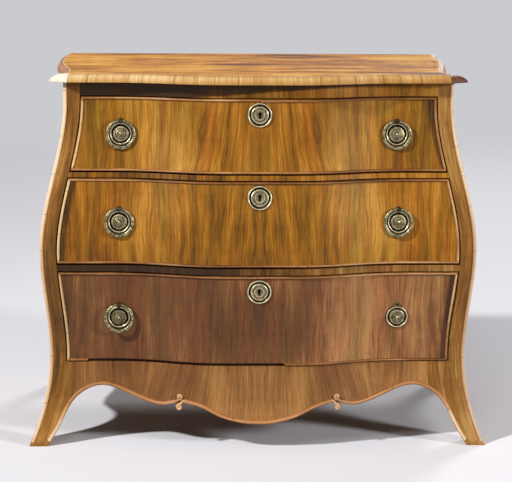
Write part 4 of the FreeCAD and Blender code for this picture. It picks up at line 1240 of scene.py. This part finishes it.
# the same of a keyhole's plate, from the keyhole's edge outwards
escutcheon_profile = [
    (0.0090, 0.0030, 0.55), (0.0100, 0.0034, 0.9), (0.0112, 0.0034, 0.8), (0.0118, 0.0029, 0.2),
    (0.0136, 0.0030, 0.5), (0.0154, 0.0031, 0.6), (0.0172, 0.0032, 0.8), (0.0184, 0.0029, 0.9),
    (0.0190, 0.0020, 0.3), (0.0194, 0.0013, 0.0), (0.0212, 0.0012, 0.0), (0.0226, 0.0014, 0.1),
    (0.0234, 0.0026, 0.8), (0.0243, 0.0030, 1.0), (0.0254, 0.0029, 0.9), (0.0262, 0.0022, 0.6),
    (escutcheon_radius, 0.0010, 0.3), (escutcheon_radius, 0.0002, 0.2)]
key_ring_radius = 0.0101      # inside it the plate's rings shift towards the keyhole's round part

# rows of small stamped beads: inner and outer radius, height and count
plate_beads = [(0.0130, 0.0160, 0.00024, 40.0), (0.0080, 0.0092, 0.00020, 24.0)]
escutcheon_beads = [(0.0135, 0.0160, 0.00020, 36.0)]


def seat(x, z, radius):
    """A frame for a round plate on the front's surface: gives a place from right, up and out."""
    slope_x = (front_y(x + radius, z) - front_y(x - radius, z)) / (2.0 * radius)
    slope_z = (front_y(x, z + radius) - front_y(x, z - radius)) / (2.0 * radius)
    middle = front_y(x, z)
    lift = 0.0
    for angle in turns_of(12):
        dx, dz = radius * math.cos(angle), radius * math.sin(angle)
        lift = max(lift, middle + slope_x * dx + slope_z * dz - front_y(x + dx, z + dz))
    normal = Vector((slope_x, -1.0, slope_z)).normalized()
    across = Vector((1.0, slope_x, 0.0)).normalized()
    up = normal.cross(across)
    origin = Vector((x, middle - lift, z))

    def place(right, rise_up, out):
        return tuple(origin + across * right + up * rise_up + normal * out)
    return place


def stamped_rows(place, profile, beads, spot=polar):
    """Rows of points of a stamped plate; spot gives a point's right and up from its radius and angle."""
    rows = []
    for radius, height, shade in profile:
        row = []
        for angle in turns_of(plate_turns):
            relief = sum(bead_height * math.cos(count * angle)
                         for inner, outer, bead_height, count in beads if inner < radius < outer)
            tone = clamp(shade + relief_to_tone * relief)
            row.append((place(*spot(radius, angle), height + relief), None, tone))
        rows.append(row)
    return rows


def make_plates(drawer):
    """The two handle plates with their lugs. The bottom drawer's right lug is empty, its hole a dark disc of
    painted shade.
    """
    shape = Shape()
    low, high = drawer_box(drawer)
    for sign in sides:
        place = seat(sign * handle_positions[drawer], (low.z + high.z) / 2.0, plate_radius)
        centre = (place(0.0, 0.0, plate_top), None, 1.0)
        shape.dish(stamped_rows(place, plate_profile, plate_beads), [centre])
        lug = []
        for height, width in lug_levels:
            outline = [(-width, lug_rise), (width, lug_rise)]
            outline += [(right, pivot_rise + up) for right, up in
                        (polar(width, angle) for angle in steps(0.0, math.pi, 13))]
            lug.append([(place(right, up, height), None, 0.4) for right, up in outline])
        shape.loft(lug)
        if drawer == "bottom" and sign > 0:
            # the empty hole: a dark disc of painted shade
            rim = [polar(lug_hole_radius, angle) for angle in turns_of(16)]
            shape.loft([[(place(right, pivot_rise + up, height), None, plain_tone) for right, up in rim]
                        for height in lug_hole_levels], slot=1)
    make_piece(drawer + "_plates", shape, [metal, hole_shade],
               [drawer + "_drawer_handle_plates"], drawer + "_drawer", sharpness=plate_sharpness)


def make_ring(drawer, side):
    """The ring handle: a broad corded bar, thinner where it passes through its post."""
    name = drawer + "_ring_" + side
    joint = next(j for j in frame["joints"] if j["name"] == name + "_pivot")
    pivot = Vector(joint["pos_m"])
    low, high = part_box(name)
    lean = math.asin(min((high.y - low.y - 2.0 * ring_bar) / (2.0 * ring_radius), 1.0))
    rings = []
    for angle in turns_of(240):
        neck = hump(min(angle, 2.0 * math.pi - angle), 0.0, 0.2)
        outer_bar = lerp(ring_bar, ring_neck_bar, neck)
        inner_bar = lerp(ring_inner_bar[0] - ring_inner_bar[1] * math.cos(angle), ring_neck_bar, neck)
        ring = []
        for spin in turns_of(20):
            cord = math.sin(ring_cords * angle + 2.0 * spin)
            relief = 1.0 - 0.035 * (0.5 - 0.5 * cord) * (1.0 - neck)
            bar = outer_bar if math.sin(spin) > 0.0 else inner_bar
            radial = ring_radius + bar * relief * math.sin(spin)
            bulge = math.copysign(abs(math.cos(spin)) ** 0.7, math.cos(spin))
            out = outer_bar * ring_flatness * relief * bulge
            drop = ring_radius - radial * math.cos(angle)
            place = (pivot.x + radial * math.sin(angle),
                     pivot.y - drop * math.sin(lean) - out * math.cos(lean),
                     pivot.z - drop * math.cos(lean) + out * math.sin(lean))
            tone = 0.4 + 0.12 * cord * (1.0 - neck) + 0.1 + 0.1 * math.cos(spin)
            ring.append((place, None, clamp(tone)))
        rings.append(ring)
    make_piece(drawer + "_ring_handle_" + side, Shape().loft(rings, closed=True), [ring_metal],
               [name], drawer + "_drawer_ring_" + side, sharpness=ring_sharpness)


def key_reach(angle):
    """Distance from the middle of a keyhole's round part to its edge, in a direction (0 is right, 90 up)."""
    down = -math.sin(angle)
    if down <= 0.0:
        return keyhole_radius
    to_side = keyhole_slot_half_width / max(abs(math.cos(angle)), 1e-6)
    return max(keyhole_radius, min(to_side, keyhole_slot_end / down))


def make_escutcheon(drawer):
    _, high = drawer_box(drawer)
    offset = keyhole_slot_end / 4.0
    place = seat(0.0, high.z - keyhole_drop - offset, escutcheon_radius)

    def hole_spot(reach, angle):
        right, up = polar(reach, angle)
        return right, offset + up

    def plate_spot(radius, angle):
        right, up = polar(radius, angle)
        if radius < key_ring_radius:
            up += 0.3 * offset
        if math.hypot(right, up - offset) < key_reach(angle) + 2.0 * keyhole_rim:
            return hole_spot(key_reach(angle) + 2.0 * keyhole_rim, angle)
        return right, up

    # the keyhole's walls are near black in tone, painted shade inside the hole
    rows = [[(place(*hole_spot(key_reach(angle) + rim, angle), height), None, shade)
             for angle in turns_of(plate_turns)]
            for height, rim, shade in ((0.0006, 0.0, 0.0), (0.0022, 0.0, 0.0), (0.0028, keyhole_rim, 0.5))]
    shape = Shape()
    shape.dish(rows + stamped_rows(place, escutcheon_profile, escutcheon_beads, plate_spot))
    # the keyhole's floor: a near-black sheet of painted shade
    shape.add(rows[0], [tuple(range(len(rows[0])))], slot=1)
    make_piece(drawer + "_keyhole_plate", shape, [metal, hole_shade],
               [drawer + "_drawer_escutcheon"], drawer + "_drawer", sharpness=plate_sharpness)


for drawer in drawers:
    make_plates(drawer)
for drawer in drawers:
    for side in ring_sides[drawer]:
        make_ring(drawer, side)
for drawer in drawers:
    make_escutcheon(drawer)

# ---------------------------------------------------------------- CAD nodes that keep their shape


def dress(node, material):
    obj = frame["nodes"][node]
    if not obj.material_slots:
        obj.data.materials.append(material)
    for material_slot in obj.material_slots:
        material_slot.material = material


drawer_materials = {"back": oak, "bottom": oak_flat, "side_left": oak_deep, "side_right": oak_deep,
                    "lock_case": dark_iron, "lock_bolt": dark_iron, "handle_posts": plain_metal}
dress("top_panel", top_wood)
for node in ("bottom_board", "back_boards", "drawer_stops"):
    dress(node, oak)
for node in ("drawer_runners", "drawer_guides"):
    dress(node, oak_deep)
for drawer in drawers:
    for part, material in drawer_materials.items():
        dress(drawer + "_drawer_" + part, material)

# ---------------------------------------------------------------- floor, lights, camera

floor_radius = 5.5
floor_fade_start = 1.6
floor_fade_end = floor_radius - 0.2


def pale_rays(tree):
    """1 for the rays of the camera, of metal and of glass, which see the pale studio as it is, or else 0."""
    rays = tree.nodes.new("ShaderNodeLightPath").outputs
    socket = rays["Is Camera Ray"]
    for kind in ("Is Glossy Ray", "Is Transmission Ray"):
        node = tree.nodes.new("ShaderNodeMath")
        node.operation = "MAXIMUM"
        tree.links.new(socket, node.inputs[0])
        tree.links.new(rays[kind], node.inputs[1])
        socket = node.outputs[0]
    return socket


def floor_material():
    """A pale floor that throws little light back on the object and fades into the background far from it."""
    n = Nodes("studio_floor")
    place = n.node("NewGeometry", {}).outputs["Position"]
    reach = n.node("VectorMath", {0: place}, operation="LENGTH").outputs["Value"]
    fade = n.spread(reach, floor_fade_start, floor_fade_end)
    clear = n.node("BsdfTransparent", {}).outputs[0]
    blend = n.node("MixShader", {0: fade, 1: n.shader.outputs["BSDF"], 2: clear})
    n.put(n.output.inputs["Surface"], blend.outputs[0])
    return n.finish({"Base Color": n.mix(pale_rays(n.tree), srgb(150, 149, 152), srgb(240, 239, 244)),
                     "Roughness": 0.85, "Specular IOR Level": 0.1})


def make_floor():
    rim = [(*polar(floor_radius, angle), 0.0) for angle in turns_of(64)]
    mesh = bpy.data.meshes.new("studio_floor")
    mesh.from_pydata(rim, [], [tuple(range(64))])
    mesh.materials.append(floor_material())
    floor = bpy.data.objects.new("studio_floor", mesh)
    bpy.context.scene.collection.objects.link(floor)


def add_lamp(name, place, aim, size, power):
    data = bpy.data.lights.new(name, "AREA")
    data.shape = "DISK"
    data.size = size
    data.energy = power
    lamp = bpy.data.objects.new(name, data)
    lamp.location = place
    direction = Vector(aim) - Vector(place)
    lamp.rotation_euler = direction.to_track_quat("-Z", "Y").to_euler()
    bpy.context.scene.collection.objects.link(lamp)


make_floor()
add_lamp("key_left", (-4.5, -2.9, 4.2), (0.0, -0.25, 0.45), 0.40, 405.0)
add_lamp("key_right", (4.8, -2.9, 2.1), (0.0, -0.25, 0.4), 0.9, 190.0)
add_lamp("high", (-0.6, -4.0, 5.6), (0.0, -0.25, 0.45), 1.2, 34.0)
add_lamp("rear", (2.4, 4.8, 3.4), (0.0, 0.2, 0.4), 1.6, 130.0)

world = bpy.data.worlds.new("studio")
bpy.context.scene.world = world
world.use_nodes = True
background = world.node_tree.nodes["Background"]
background.inputs["Color"].default_value = (*srgb(250, 251, 255), 1.0)
strength = world.node_tree.nodes.new("ShaderNodeMapRange")
strength.inputs["To Min"].default_value = 0.06
strength.inputs["To Max"].default_value = 0.62
world.node_tree.links.new(pale_rays(world.node_tree), strength.inputs["Value"])
world.node_tree.links.new(strength.outputs[0], background.inputs["Strength"])

# the photo's camera, worked out from the object's edges
camera_distance = 4.30
camera_side = -0.1528
camera_height = 1.2242
camera_pitch = math.radians(10.265)
camera_yaw = math.radians(1.969)
camera_roll = math.radians(0.388)
focal_pixels = 2003.4
picture_width = 512
sensor = 36.0

camera_data = bpy.data.cameras.new("camera")
camera_data.sensor_width = sensor
camera_data.sensor_fit = "HORIZONTAL"
camera_data.lens = sensor * focal_pixels / picture_width
camera_data.clip_end = 60.0
camera = bpy.data.objects.new("camera", camera_data)
camera.location = (camera_side, neck_y - camera_distance, camera_height)
turn = Matrix.Rotation(-camera_yaw, 3, "Z") @ Matrix.Rotation(math.pi / 2.0 - camera_pitch, 3, "X")
camera.rotation_euler = (turn @ Matrix.Rotation(camera_roll, 3, "Z")).to_euler()
bpy.context.scene.collection.objects.link(camera)
bpy.context.scene.camera = camera
bpy.context.scene.view_settings.view_transform = "Standard"
